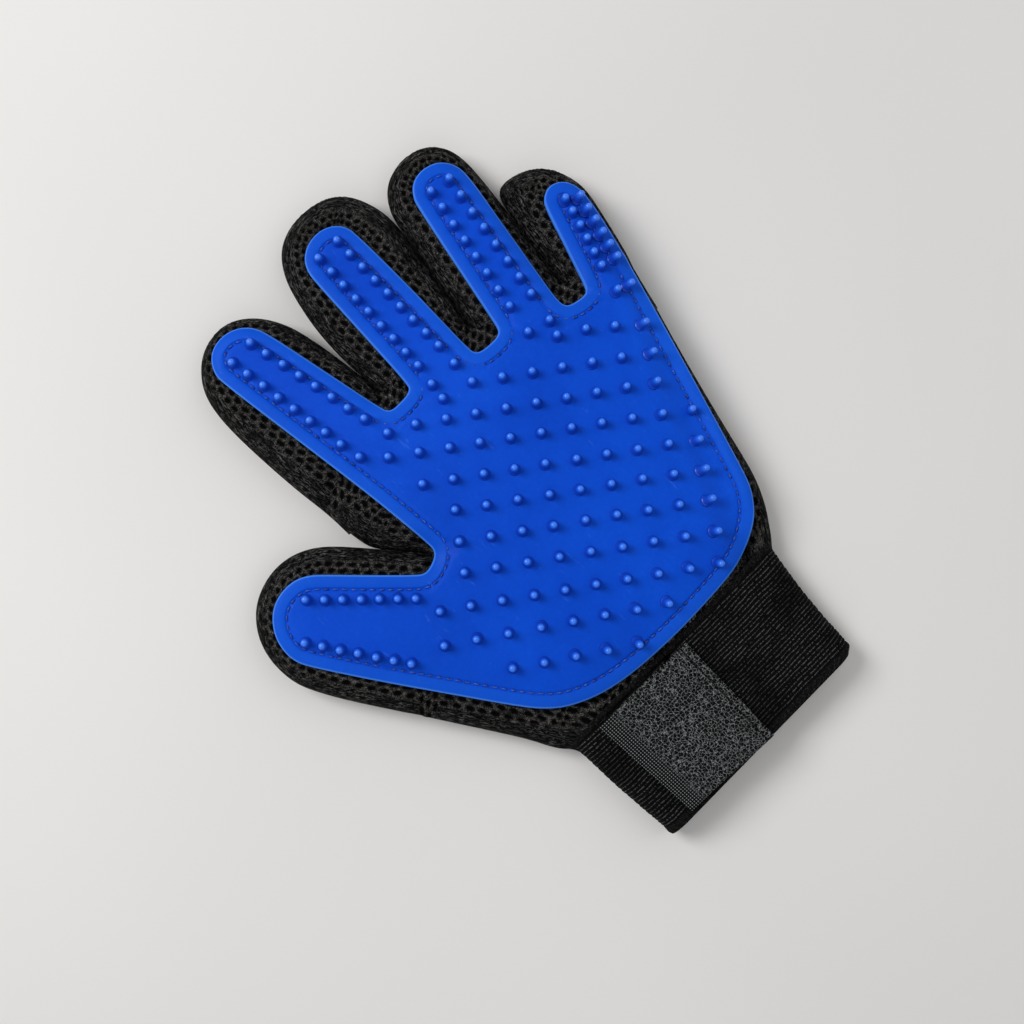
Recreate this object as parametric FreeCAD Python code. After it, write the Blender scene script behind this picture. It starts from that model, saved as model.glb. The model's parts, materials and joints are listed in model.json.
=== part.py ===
import FreeCAD, Part
import os
import math

V = FreeCAD.Vector
os.makedirs("parts", exist_ok=True)

# ---------------------------------------------------------------- driving dimensions (mm)
# A left-hand grooming glove lying on its back, palm side up.
# +Z up out of the palm, +Y from the cuff towards the fingertips, +X towards the little finger.
FABRIC_T = 1.6          # thickness of every fabric panel
GLOVE_H = 17.2          # height of the puffed glove, back panel to palm fabric
EDGE_R = 6.6            # rounding of the glove's sides
SEAM_INSET = 6.0        # the gusset seam runs this far inside the outline
PAD_T = 2.6             # rubber pad thickness
PAD_EDGE = 0.7          # rounding of the pad's rim
NUB_H = 5.0             # nub height above the pad
NUB_R_BASE = 1.75       # nub radius at its root
NUB_R_TIP = 1.05        # nub radius at its tip
STITCH_INSET = 4.6      # stitch line, inside the pad's rim
STITCH_W = 1.1          # width of the stitch groove
STITCH_DEPTH = 0.7      # depth of the stitch groove
THREAD_GAP = 0.1        # the thread's clearance in its groove
HINGE_GAP = 0.8         # clearance between a finger and the palm at the flex line

ORIGIN_DX, ORIGIN_DY = -0.35, -0.05   # puts the origin at the middle of the footprint

PAD_Z0 = GLOVE_H
PAD_Z1 = GLOVE_H + PAD_T
NUB_Z1 = PAD_Z1 + NUB_H

# finger: tube root centre, root radius, tip centre, tip radius,
#         pad root centre, root half width, tip centre, tip radius,
#         flex line point, swing direction from +Y in degrees (positive to +X)
FINGERS = {
    "thumb": dict(root=(-35.0, -38.0), root_r=29.0, tip=(-73.3, 13.4), tip_r=24.4,
                  pad_root=(-42.0, -24.0), pad_root_r=20.0, pad_tip=(-74.2, 13.4), pad_tip_r=16.9,
                  flex=(-32.0, 2.2), swing=-39.7),
    "index_finger": dict(root=(-22.6, 30.0), root_r=18.6, tip=(-31.8, 93.5), tip_r=19.8,
                  pad_root=(-20.5, 34.0), pad_root_r=12.9, pad_tip=(-30.3, 97.0), pad_tip_r=11.8,
                  flex=(-7.0, 50.4), swing=-9.5),
    "middle_finger": dict(root=(12.8, 25.0), root_r=17.4, tip=(17.8, 102.6), tip_r=19.9,
                  pad_root=(12.8, 33.0), pad_root_r=13.9, pad_tip=(16.7, 100.3), pad_tip_r=11.2,
                  flex=(13.5, 49.2), swing=3.2),
    "ring_finger": dict(root=(45.6, 21.0), root_r=15.9, tip=(59.0, 94.6), tip_r=16.6,
                  pad_root=(48.0, 31.0), pad_root_r=11.3, pad_tip=(59.9, 91.2), pad_tip_r=10.6,
                  flex=(49.5, 40.2), swing=11.1),
    "little_finger": dict(root=(74.7, 13.0), root_r=11.6, tip=(86.0, 66.4), tip_r=12.4,
                  pad_root=(78.0, 20.0), pad_root_r=10.6, pad_tip=(87.7, 58.2), pad_tip_r=8.1,
                  flex=(79.3, 29.0), swing=15.6),
}

# palm outline, anticlockwise, with the rounding of each corner
PALM = [((-37.5, -90.0), 0.1), ((48.5, -90.0), 0.1), ((66.5, -59.5), 12.0), ((76.0, -21.5), 40.0),
        ((88.0, 21.0), 6.0), ((60.0, 30.0), 6.0), ((30.0, 40.5), 6.0), ((-6.0, 43.0), 6.0),
        ((-46.6, 41.0), 3.0), ((-46.0, 24.5), 8.0), ((-28.0, 4.5), 3.0), ((-33.0, -3.0), 3.0),
        ((-70.0, -33.5), 3.0), ((-54.4, -62.0), 12.0)]
PAD_PALM = [((-26.5, -71.2), 22.0), ((6.0, -75.3), 60.0), ((45.0, -72.8), 16.0), ((63.6, -55.5), 18.0),
            ((83.6, 10.5), 30.0), ((88.2, 27.6), 2.0), ((69.6, 30.6), 2.0), ((60.6, 31.4), 2.0),
            ((38.0, 41.3), 2.0), ((28.2, 41.6), 2.0), ((0.0, 48.8), 2.0), ((-7.6, 49.0), 2.0),
            ((-34.2, 40.0), 2.0), ((-31.0, 3.4), 4.5), ((-38.5, 0.3), 2.0), ((-62.0, -34.0), 4.0),
            ((-44.5, -58.5), 24.0)]

# nub rows: (owner, start, end, count), at mid nub height
NUB_ROWS = [
    ("thumb", (-73.7, 22.6), (-46.9, -3.6), 7), ("thumb", (-84.1, 12.4), (-63.4, -18.2), 7),
    ("index_finger", (-34.6, 98.9), (-27.9, 52.2), 8), ("index_finger", (-25.4, 99.4), (-16.2, 52.8), 8),
    ("middle_finger", (12.0, 103.8), (10.0, 52.9), 9), ("middle_finger", (20.9, 103.8), (19.8, 52.9), 9),
    ("ring_finger", (56.2, 93.3), (46.9, 45.4), 8), ("ring_finger", (63.7, 92.0), (55.2, 43.2), 8),
    ("little_finger", (87.4, 58.6), (79.6, 32.9), 6), ("little_finger", (91.8, 55.6), (85.3, 31.6), 6),
    ("palm", (-26.6, 44.6), (-14.0, 43.8), 2), ("palm", (8.6, 45.0), (19.3, 44.7), 2),
    ("palm", (44.9, 34.4), (53.0, 32.2), 2), ("palm", (7.9, 38.9), (7.9, 38.9), 1),
    ("palm", (51.2, 26.6), (51.2, 26.6), 1), ("palm", (77.2, 23.0), (82.0, 21.6), 2),
    ("palm", (59.7, 21.1), (75.8, 8.5), 3), ("palm", (18.9, 35.8), (70.1, -0.6), 7),
    ("palm", (-5.0, 39.1), (63.8, -9.1), 9), ("palm", (-19.5, 37.5), (65.9, -24.4), 11),
    ("palm", (-17.8, 22.7), (59.9, -33.2), 10), ("palm", (-16.2, 8.4), (54.0, -41.8), 9),
    ("palm", (-22.9, -0.3), (48.0, -50.5), 9), ("palm", (-29.1, -9.0), (41.6, -59.6), 9),
    ("palm", (-44.2, -12.3), (34.8, -68.2), 10), ("palm", (-51.2, -21.6), (12.6, -65.2), 8),
    ("palm", (-40.3, -43.3), (-4.2, -67.9), 5),
]

# cuff: x of the left and right sides at the top and bottom edges
CUFF_Y_TOP, CUFF_Y_HEM, CUFF_Y_END = -77.0, -119.9, -122.4
CUFF_TOP_X, CUFF_END_X = (-45.2, 54.6), (-42.4, 48.0)
CUFF_H = 13.0           # height of the flattened cuff
CUFF_T = 2.2            # elastic thickness
WRIST_Y = -76.6         # the palm ends here and the cuff is sewn on
SLIT_X, SLIT_W = -0.5, 3.0   # opening of the cuff under the tab

# wrist tab
TAB_X0, TAB_X1 = -33.6, 7.6
TAB_Y0, TAB_Y1 = -121.0, -78.8
TAB_FOLD_X = 1.6        # the tab peels up about this line
TAB_GAP = 0.6
TAB_T = 1.7
HOOK_T, LOOP_T = 0.8, 1.0
TAB_CLEAR = 0.3         # between the hook and the loop faces
LOOP_Z0 = CUFF_H
LOOP_Z1 = LOOP_Z0 + LOOP_T
HOOK_Z0 = LOOP_Z1 + TAB_CLEAR
TAB_Z0 = HOOK_Z0 + HOOK_T
TAB_Z1 = TAB_Z0 + TAB_T


# ---------------------------------------------------------------- helpers
def prism(edges, z0, z1):
    face = Part.Face(Part.Wire(edges))
    face.translate(V(0, 0, z0))
    return face.extrude(V(0, 0, z1 - z0))


def capsule(c1, r1, c2, r2, z0, z1):
    """prism over the tapered capsule that wraps two circles"""
    ax, ay = c2[0] - c1[0], c2[1] - c1[1]
    length = math.hypot(ax, ay)
    ux, uy = ax / length, ay / length
    s = (r1 - r2) / length
    c = math.sqrt(1 - s * s)
    left = (-uy * c + ux * s, ux * c + uy * s)
    right = (uy * c + ux * s, -ux * c + uy * s)

    def at(p, n, r):
        return V(p[0] + n[0] * r, p[1] + n[1] * r, 0)

    edges = [Part.LineSegment(at(c1, right, r1), at(c2, right, r2)).toShape(),
             Part.Arc(at(c2, right, r2), at(c2, (ux, uy), r2), at(c2, left, r2)).toShape(),
             Part.LineSegment(at(c2, left, r2), at(c1, left, r1)).toShape(),
             Part.Arc(at(c1, left, r1), at(c1, (-ux, -uy), r1), at(c1, right, r1)).toShape()]
    return prism(edges, z0, z1)


def inset_points(corners, inset):
    """parallel inset of an anticlockwise polygon"""
    out = []
    n = len(corners)
    for i in range(n):
        (px, py), (qx, qy), (rx, ry) = corners[i - 1][0], corners[i][0], corners[(i + 1) % n][0]
        ax, ay, bx, by = qx - px, qy - py, rx - qx, ry - qy
        la, lb = math.hypot(ax, ay), math.hypot(bx, by)
        ax, ay, bx, by = ax / la, ay / la, bx / lb, by / lb
        nax, nay, nbx, nby = -ay, ax, -by, bx
        k = 1 + nax * nbx + nay * nby
        radius = corners[i][1]
        convex = ax * by - ay * bx > 0
        radius = max(0.1, radius - inset) if convex else radius + inset
        out.append(((qx + inset * (nax + nbx) / k, qy + inset * (nay + nby) / k), radius))
    return out


def polygon(corners, inset, z0, z1):
    """prism over a polygon with rounded corners, moved in by inset"""
    pts = inset_points(corners, inset) if inset else corners
    n = len(pts)
    cut = []
    for i in range(n):
        p, q, r = pts[i - 1][0], pts[i][0], pts[(i + 1) % n][0]
        a = V(p[0] - q[0], p[1] - q[1], 0)
        b = V(r[0] - q[0], r[1] - q[1], 0)
        la, lb = a.Length, b.Length
        a.normalize()
        b.normalize()
        ang = a.getAngle(b)
        back = min(pts[i][1] / math.tan(ang / 2), 0.47 * la, 0.47 * lb)
        rad = back * math.tan(ang / 2)
        corner = V(q[0], q[1], 0)
        mid_dir = (a + b)
        mid_dir.normalize()
        centre = corner + mid_dir * (rad / math.sin(ang / 2))
        mid = centre - mid_dir * rad
        cut.append((corner + a * back, mid, corner + b * back))
    edges = []
    for i in range(n):
        s, m, e = cut[i]
        edges.append(Part.Arc(s, m, e).toShape())
        nxt = cut[(i + 1) % n][0]
        if (nxt - e).Length > 1e-4:
            edges.append(Part.LineSegment(e, nxt).toShape())
    return prism(edges, z0, z1)


def round_rims(solid, radius, z_values):
    """round the horizontal rims of a prism at the given heights"""
    edges = []
    for e in solid.Edges:
        bb = e.BoundBox
        if bb.ZLength < 1e-6 and any(abs(bb.ZMin - z) < 1e-6 for z in z_values):
            edges.append(e)
    return solid.makeFillet(radius, edges)


def union(shapes):
    out = shapes[0].multiFuse(shapes[1:]) if len(shapes) > 1 else shapes[0]
    return out.removeSplitter()


def axes(f):
    a = math.radians(f["swing"])
    return V(math.sin(a), math.cos(a), 0), V(math.cos(a), -math.sin(a), 0)


def beyond(f, u0):
    """large block on the fingertip side of the flex line, from distance u0"""
    d, p = axes(f)
    box = Part.makeBox(400, 200, 100, V(-200, 0, -30))
    box.rotate(V(0, 0, 0), V(0, 0, 1), -f["swing"])
    box.translate(V(f["flex"][0], f["flex"][1], 0) + d * u0)
    return box


def glove_tube(f, inset, z0, z1, radius):
    s = capsule(f["root"], f["root_r"] - inset, f["tip"], f["tip_r"] - inset, z0, z1)
    return round_rims(s, radius, (z0, z1)) if radius else s


def pad_lobe(f, inset, z0, z1, radius=0.0):
    s = capsule(f["pad_root"], f["pad_root_r"] - inset, f["pad_tip"], f["pad_tip_r"] - inset, z0, z1)
    return round_rims(s, radius, (z1,)) if radius else s


def nub(x, y):
    lower = Part.makeCone(NUB_R_BASE, NUB_R_TIP, NUB_H - 0.6, V(x, y, PAD_Z1))
    cap = Part.makeCone(NUB_R_TIP, NUB_R_TIP * 0.45, 0.6, V(x, y, NUB_Z1 - 0.6))
    root = Part.makeCylinder(NUB_R_BASE, 0.4, V(x, y, PAD_Z1 - 0.4))
    return root.multiFuse([lower, cap]).removeSplitter()


def block(x0, x1, y0, y1, z0, z1):
    return Part.makeBox(x1 - x0, y1 - y0, z1 - z0, V(x0, y0, z0))


def nub_clearance(owner):
    """the stitching bends round any nub that stands in its groove"""
    return Part.makeCompound([Part.makeCylinder(NUB_R_BASE + THREAD_GAP, 6.0, V(x, y, PAD_Z1 - 3.0))
                              for x, y in nubs[owner]])


NODES = {}
half_gap = HINGE_GAP / 2
MID_Z = GLOVE_H / 2

nubs = {}
for owner, a, b, count in NUB_ROWS:
    for i in range(count):
        k = i / (count - 1) if count > 1 else 0.0
        nubs.setdefault(owner, []).append((a[0] + k * (b[0] - a[0]), a[1] + k * (b[1] - a[1])))

# ---------------------------------------------------------------- fingers
OUT = {}
INN = {}
for name, f in FINGERS.items():
    tag = name.replace("_finger", "")
    outer = glove_tube(f, 0.0, 0.0, GLOVE_H, EDGE_R)
    inner = glove_tube(f, FABRIC_T, FABRIC_T, GLOVE_H - FABRIC_T, EDGE_R - FABRIC_T)
    OUT[name], INN[name] = outer, inner
    ahead = beyond(f, half_gap)
    shell = outer.cut(inner).common(ahead)
    core = glove_tube(f, SEAM_INSET, -1.0, GLOVE_H + 1.0, 0)
    upper = block(-200, 200, -200, 200, MID_Z, 40)
    lower = block(-200, 200, -200, 200, -5, MID_Z)
    NODES[tag + "_palm_side_mesh"] = shell.common(core).common(upper)
    NODES[tag + "_back_panel"] = shell.common(core).common(lower)
    NODES[tag + "_side_gusset"] = shell.cut(core)
    pad = pad_lobe(f, 0.0, PAD_Z0, PAD_Z1, PAD_EDGE).common(ahead)
    groove = pad_lobe(f, STITCH_INSET, PAD_Z1 - STITCH_DEPTH, PAD_Z1 + 1)
    groove = groove.cut(pad_lobe(f, STITCH_INSET + STITCH_W, PAD_Z1 - STITCH_DEPTH - 1, PAD_Z1 + 2))
    pad = pad.cut(groove)
    pad = pad.multiFuse([nub(x, y) for x, y in nubs[name]]).removeSplitter()
    NODES[tag + "_curry_pad"] = pad
    g = THREAD_GAP
    thread = pad_lobe(f, STITCH_INSET + g, PAD_Z1 - STITCH_DEPTH, PAD_Z1)
    thread = thread.cut(pad_lobe(f, STITCH_INSET + STITCH_W - g, PAD_Z1 - STITCH_DEPTH - 1, PAD_Z1 + 2))
    NODES[tag + "_pad_stitching"] = thread.common(ahead).cut(nub_clearance(name))

# ---------------------------------------------------------------- palm and back of the hand
palm_core = round_rims(polygon(PALM, 0.0, 0.0, GLOVE_H), EDGE_R, (0.0, GLOVE_H))
palm_void = round_rims(polygon(PALM, FABRIC_T, FABRIC_T, GLOVE_H - FABRIC_T), EDGE_R - FABRIC_T,
                       (FABRIC_T, GLOVE_H - FABRIC_T))
outer_parts, inner_parts, seam_parts = [palm_core], [palm_void], [polygon(PALM, SEAM_INSET, -1, GLOVE_H + 1)]
for name, f in FINGERS.items():
    outer_parts.append(OUT[name].cut(beyond(f, -half_gap)))
    inner_parts.append(INN[name].cut(beyond(f, 6.0)))
    seam_parts.append(glove_tube(f, SEAM_INSET, -1.0, GLOVE_H + 1.0, 0).cut(beyond(f, 6.0)))
palm_outer = union(outer_parts)
palm_inner = union(inner_parts)
palm_shell = palm_outer.cut(palm_inner).cut(block(-200, 200, -200, WRIST_Y, -10, 60))
seam = union(seam_parts)
NODES["palm_mesh_panel"] = palm_shell.common(seam).common(block(-200, 200, -200, 200, MID_Z, 40))
NODES["back_of_hand_panel"] = palm_shell.common(seam).common(block(-200, 200, -200, 200, -5, MID_Z))
rim = palm_shell.cut(seam)
sides = {"outer_palm_gusset": [], "inner_palm_gusset": [], "thumb_web_gusset": [], "finger_crotch_gussets": []}
for piece in rim.Solids:
    c = piece.BoundBox.Center
    if c.x > 55 and piece.BoundBox.YMin < 0:
        sides["outer_palm_gusset"].append(piece)
    elif c.y < -30:
        sides["inner_palm_gusset"].append(piece)
    elif c.x < -25:
        sides["thumb_web_gusset"].append(piece)
    else:
        sides["finger_crotch_gussets"].append(piece)
for name, pieces in sides.items():
    NODES[name] = Part.makeCompound(pieces) if len(pieces) > 1 else pieces[0]


def palm_pad_prism(inset, z0, z1, radius=0.0):
    parts = [polygon(PAD_PALM, inset, z0, z1)]
    for f in FINGERS.values():
        parts.append(pad_lobe(f, inset, z0, z1).cut(beyond(f, 3.0)))
    s = union(parts)
    if radius:
        s = round_rims(s, radius, (z1,))
    for f in FINGERS.values():
        trim = beyond(f, -half_gap).common(capsule(f["pad_root"], f["pad_root_r"] + 1.5, f["pad_tip"],
                                                   f["pad_tip_r"] + 1.5, z0 - 1, z1 + 1))
        s = s.cut(trim)
    # the thumb's own fabric rises past the corner of the pad as the thumb flexes
    f = FINGERS["thumb"]
    s = s.cut(beyond(f, -half_gap).common(capsule(f["root"], f["root_r"] + 0.6, f["tip"], f["tip_r"] + 0.6,
                                                  z0 - 1, z1 + 1)))
    return s


# ---------------------------------------------------------------- rubber pad of the palm
palm_pad = palm_pad_prism(0.0, PAD_Z0, PAD_Z1, PAD_EDGE)
groove = palm_pad_prism(STITCH_INSET, PAD_Z1 - STITCH_DEPTH, PAD_Z1 + 1)
core = palm_pad_prism(STITCH_INSET + STITCH_W, PAD_Z1 - STITCH_DEPTH - 1, PAD_Z1 + 2)
bridges = []
for f in FINGERS.values():
    strip = capsule(f["pad_root"], f["pad_root_r"] - STITCH_INSET - STITCH_W, f["pad_tip"],
                    f["pad_tip_r"] - STITCH_INSET - STITCH_W, PAD_Z1 - 2, PAD_Z1 + 2)
    bridges.append(strip.common(beyond(f, -6.0)))
palm_pad = palm_pad.cut(groove.cut(core).cut(Part.makeCompound(bridges)))
palm_pad = palm_pad.multiFuse([nub(x, y) for x, y in nubs["palm"]]).removeSplitter()
NODES["palm_curry_pad"] = palm_pad
thread = palm_pad_prism(STITCH_INSET + THREAD_GAP, PAD_Z1 - STITCH_DEPTH, PAD_Z1)
thread = thread.cut(palm_pad_prism(STITCH_INSET + STITCH_W - THREAD_GAP, PAD_Z1 - 3, PAD_Z1 + 2))
thread = thread.cut(Part.makeCompound(bridges)).cut(nub_clearance("palm"))
NODES["palm_pad_stitching"] = thread


# ---------------------------------------------------------------- cuff
def racetrack(x0, x1, y, z0, z1):
    """wire in the plane at y: two flats and two round ends"""
    r = (z1 - z0) / 2.0
    zm = (z0 + z1) / 2.0
    edges = [Part.LineSegment(V(x0 + r, y, z0), V(x1 - r, y, z0)).toShape(),
             Part.Arc(V(x1 - r, y, z0), V(x1, y, zm), V(x1 - r, y, z1)).toShape(),
             Part.LineSegment(V(x1 - r, y, z1), V(x0 + r, y, z1)).toShape(),
             Part.Arc(V(x0 + r, y, z1), V(x0, y, zm), V(x0 + r, y, z0)).toShape()]
    return Part.Wire(edges)


def cuff_x(y):
    k = (CUFF_Y_TOP - y) / (CUFF_Y_TOP - CUFF_Y_END)
    return (CUFF_TOP_X[0] + k * (CUFF_END_X[0] - CUFF_TOP_X[0]), CUFF_TOP_X[1] + k * (CUFF_END_X[1] - CUFF_TOP_X[1]))


def sleeve(y0, y1, t_in, t_out=0.0):
    """flattened tube of the cuff from y0 down to y1, its wall from t_out to t_in inside the outline"""
    outer, inner = [], []
    for y in (y0, y1):
        xa, xb = cuff_x(y)
        outer.append(racetrack(xa + t_out, xb - t_out, y, t_out, CUFF_H - t_out))
    for y in (y0 + 0.5, y1 - 0.5):
        xa, xb = cuff_x(y)
        inner.append(racetrack(xa + t_in, xb - t_in, y, t_in, CUFF_H - t_in))
    return Part.makeLoft(outer, True, True).cut(Part.makeLoft(inner, True, True))


slit = block(SLIT_X - SLIT_W / 2, SLIT_X + SLIT_W / 2, CUFF_Y_END - 5, CUFF_Y_TOP + 5, CUFF_H / 2, 60)
NODES["cuff_elastic_band"] = sleeve(CUFF_Y_TOP, CUFF_Y_HEM, CUFF_T).cut(slit)
NODES["cuff_hem_binding"] = sleeve(CUFF_Y_HEM, CUFF_Y_END, CUFF_T).cut(slit)
NODES["cuff_seam"] = sleeve(WRIST_Y, CUFF_Y_TOP, CUFF_T)

# ---------------------------------------------------------------- wrist tab
NODES["loop_patch"] = block(TAB_X0 + 3.0, SLIT_X - SLIT_W / 2 - 0.5, TAB_Y0 + 3.0, TAB_Y1 - 2.0, LOOP_Z0, LOOP_Z1)
NODES["hook_patch"] = block(TAB_X0 + 2.5, TAB_FOLD_X - 2.5, TAB_Y0 + 2.5, TAB_Y1 - 2.0, HOOK_Z0, TAB_Z0)
free = block(TAB_X0, TAB_FOLD_X - TAB_GAP / 2, TAB_Y0, TAB_Y1, TAB_Z0, TAB_Z1)
corner = [e for e in free.Edges if e.BoundBox.ZLength > 1 and e.BoundBox.XMax < TAB_X0 + 1]
free = free.makeFillet(3.0, corner)
NODES["wrist_tab"] = free
NODES["tab_sewn_end"] = block(TAB_FOLD_X + TAB_GAP / 2, TAB_X1, TAB_Y0, TAB_Y1, CUFF_H, TAB_Z1)
bars = [block(x, x + 0.8, TAB_Y0 + 2.0, TAB_Y1 - 2.0, TAB_Z1, TAB_Z1 + 0.3) for x in (TAB_X1 - 3.4, TAB_X1 - 1.8)]
NODES["tab_box_stitching"] = Part.makeCompound(bars)
edge = 2.0
ring = block(TAB_X0 + edge, TAB_FOLD_X - 1.2, TAB_Y0 + edge, TAB_Y1 - edge, TAB_Z1, TAB_Z1 + 0.3)
ring = ring.cut(block(TAB_X0 + edge + 0.8, TAB_FOLD_X + 2.0, TAB_Y0 + edge + 0.8, TAB_Y1 - edge - 0.8,
                      TAB_Z1 - 1, TAB_Z1 + 1))
NODES["tab_edge_stitching"] = ring

# ---------------------------------------------------------------- origin: centre of the footprint, on the surface
ORIGIN_SHIFT = V(ORIGIN_DX, ORIGIN_DY, 0)
for name, shape in NODES.items():
    shape.translate(ORIGIN_SHIFT)
    shape.exportStep("parts/" + name + ".step")

lo = [min(getattr(s.optimalBoundingBox(), a) for s in NODES.values()) for a in ("XMin", "YMin", "ZMin")]
hi = [max(getattr(s.optimalBoundingBox(), a) for s in NODES.values()) for a in ("XMax", "YMax", "ZMax")]
print("nodes", len(NODES))
print("box", [round(v, 3) for v in lo], [round(v, 3) for v in hi])
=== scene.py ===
import bpy
import json
import math
import numpy as np
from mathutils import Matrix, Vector
from mathutils.geometry import delaunay_2d_cdt

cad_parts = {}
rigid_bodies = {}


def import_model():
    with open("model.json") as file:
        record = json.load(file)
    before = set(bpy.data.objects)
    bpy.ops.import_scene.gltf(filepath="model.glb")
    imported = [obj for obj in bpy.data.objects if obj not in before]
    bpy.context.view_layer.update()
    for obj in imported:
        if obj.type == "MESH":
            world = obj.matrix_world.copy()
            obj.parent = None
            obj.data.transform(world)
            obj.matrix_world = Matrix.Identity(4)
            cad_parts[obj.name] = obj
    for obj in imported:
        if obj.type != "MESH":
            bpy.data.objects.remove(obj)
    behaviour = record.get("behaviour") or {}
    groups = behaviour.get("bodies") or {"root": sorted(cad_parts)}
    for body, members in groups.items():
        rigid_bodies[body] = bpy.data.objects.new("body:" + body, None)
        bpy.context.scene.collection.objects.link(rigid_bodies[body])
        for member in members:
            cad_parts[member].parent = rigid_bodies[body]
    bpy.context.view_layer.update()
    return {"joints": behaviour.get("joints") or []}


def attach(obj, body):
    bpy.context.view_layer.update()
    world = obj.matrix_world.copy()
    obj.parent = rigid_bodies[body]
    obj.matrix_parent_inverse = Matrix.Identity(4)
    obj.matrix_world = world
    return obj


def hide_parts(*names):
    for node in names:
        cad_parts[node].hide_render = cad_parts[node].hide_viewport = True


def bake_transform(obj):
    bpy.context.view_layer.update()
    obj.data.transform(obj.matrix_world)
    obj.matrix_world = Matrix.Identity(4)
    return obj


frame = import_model()
MM = 0.001
DX, DY = -0.35, -0.05          # the drawing's origin to the row's origin, mm
scene = bpy.context.scene

# ------------------------------------------------------------------ camera, as the object is seen from above
UP = Vector((math.sqrt(.5), math.sqrt(.5), 0.0))
TILT = math.radians(5.0)
back = Vector((0, 0, 1)) * math.cos(TILT) - UP * math.sin(TILT)
right = Vector((math.sqrt(.5), -math.sqrt(.5), 0.0))
upc = UP * math.cos(TILT) + Vector((0, 0, 1)) * math.sin(TILT)
aim = Vector(((-1.718 + DX) * MM, (-4.435 + DY) * MM, 0.0))
cam_data = bpy.data.cameras.new("camera")
cam_data.lens = 50.0
cam_data.sensor_width = 36.0
cam_data.clip_start = 0.01
cam_data.clip_end = 50.0
cam = bpy.data.objects.new("camera", cam_data)
scene.collection.objects.link(cam)
from mathutils import Matrix
rot = Matrix((right, upc, back)).transposed()
cam.matrix_world = Matrix.Translation(aim + back * 0.506) @ rot.to_4x4()
scene.camera = cam

# ------------------------------------------------------------------ joints, from the frame
JOINT = {j["name"]: j for j in frame["joints"]}


def joint_axes(body):
    j = JOINT[body + "_flex"]
    p = np.array(j["axis"][:2], float)
    p /= np.linalg.norm(p)
    d = np.array([-p[1], p[0]])
    o = np.array(j["pos_m"][:2], float) / MM - np.array([DX, DY])
    return o, d, p


# ------------------------------------------------------------------ small numeric tools (all lengths in mm)
def lattice(ix, iy, seed):
    h = np.sin(ix * 127.1 + iy * 311.7 + seed * 74.7) * 43758.5453
    return h - np.floor(h)


def vnoise(x, y, seed=0.0):
    x = np.asarray(x, float)
    y = np.asarray(y, float)
    ix, iy = np.floor(x), np.floor(y)
    fx, fy = x - ix, y - iy
    fx = fx * fx * (3 - 2 * fx)
    fy = fy * fy * (3 - 2 * fy)
    a = lattice(ix, iy, seed)
    b = lattice(ix + 1, iy, seed)
    c = lattice(ix, iy + 1, seed)
    d = lattice(ix + 1, iy + 1, seed)
    return (a + (b - a) * fx) * (1 - fy) + (c + (d - c) * fx) * fy - 0.5


def fbm(x, y, seed=0.0, octaves=3):
    out, amp, tot = 0.0, 1.0, 0.0
    for k in range(octaves):
        out = out + amp * vnoise(x * 2 ** k, y * 2 ** k, seed + 13.7 * k)
        tot += amp
        amp *= 0.5
    return out / tot


def sstep(a, b, x):
    t = np.clip((x - a) / (b - a), 0, 1)
    return t * t * (3 - 2 * t)


def chaikin(p, closed, n=3):
    p = np.asarray(p, float)
    for _ in range(n):
        if closed:
            q = np.roll(p, -1, 0)
            p = np.stack([0.75 * p + 0.25 * q, 0.25 * p + 0.75 * q], 1).reshape(-1, 2)
        else:
            q = np.stack([0.75 * p[:-1] + 0.25 * p[1:], 0.25 * p[:-1] + 0.75 * p[1:]], 1).reshape(-1, 2)
            p = np.vstack([p[:1], q, p[-1:]])
    return p


def resample(p, step, closed=False):
    if closed:
        p = np.vstack([p, p[:1]])
    seg = np.hypot(*np.diff(p, axis=0).T)
    s = np.concatenate([[0], np.cumsum(seg)])
    n = max(2, int(round(s[-1] / step)))
    t = np.linspace(0, s[-1], n + 1)
    if closed:
        t = t[:-1]
    return np.stack([np.interp(t, s, p[:, 0]), np.interp(t, s, p[:, 1])], 1), t


def seg_distance(P, polylines):
    """distance from each point to the nearest of the polylines"""
    P = np.asarray(P, float)
    A = np.vstack([pl[:-1] for pl in polylines])
    B = np.vstack([pl[1:] for pl in polylines])
    out = np.empty(len(P))
    AB = B - A
    L2 = np.maximum((AB ** 2).sum(1), 1e-12)
    for i in range(0, len(P), 4000):
        q = P[i:i + 4000, None, :] - A[None]
        t = np.clip((q * AB[None]).sum(2) / L2[None], 0, 1)
        r = q - t[..., None] * AB[None]
        out[i:i + 4000] = np.sqrt((r ** 2).sum(2).min(1))
    return out


def inside(P, poly):
    x, y = P[:, 0], P[:, 1]
    c = np.zeros(len(P), bool)
    n = len(poly)
    for i in range(n):
        x1, y1 = poly[i]
        x2, y2 = poly[(i + 1) % n]
        if y1 == y2:
            continue
        m = (y1 > y) != (y2 > y)
        c ^= m & (x < (x2 - x1) * (y - y1) / (y2 - y1) + x1)
    return c


def inward_normals(p):
    """unit normals to the left of an anticlockwise closed loop (pointing inside)"""
    t = np.roll(p, -1, 0) - np.roll(p, 1, 0)
    t /= np.maximum(np.hypot(t[:, 0], t[:, 1])[:, None], 1e-9)
    return np.stack([-t[:, 1], t[:, 0]], 1)


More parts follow.
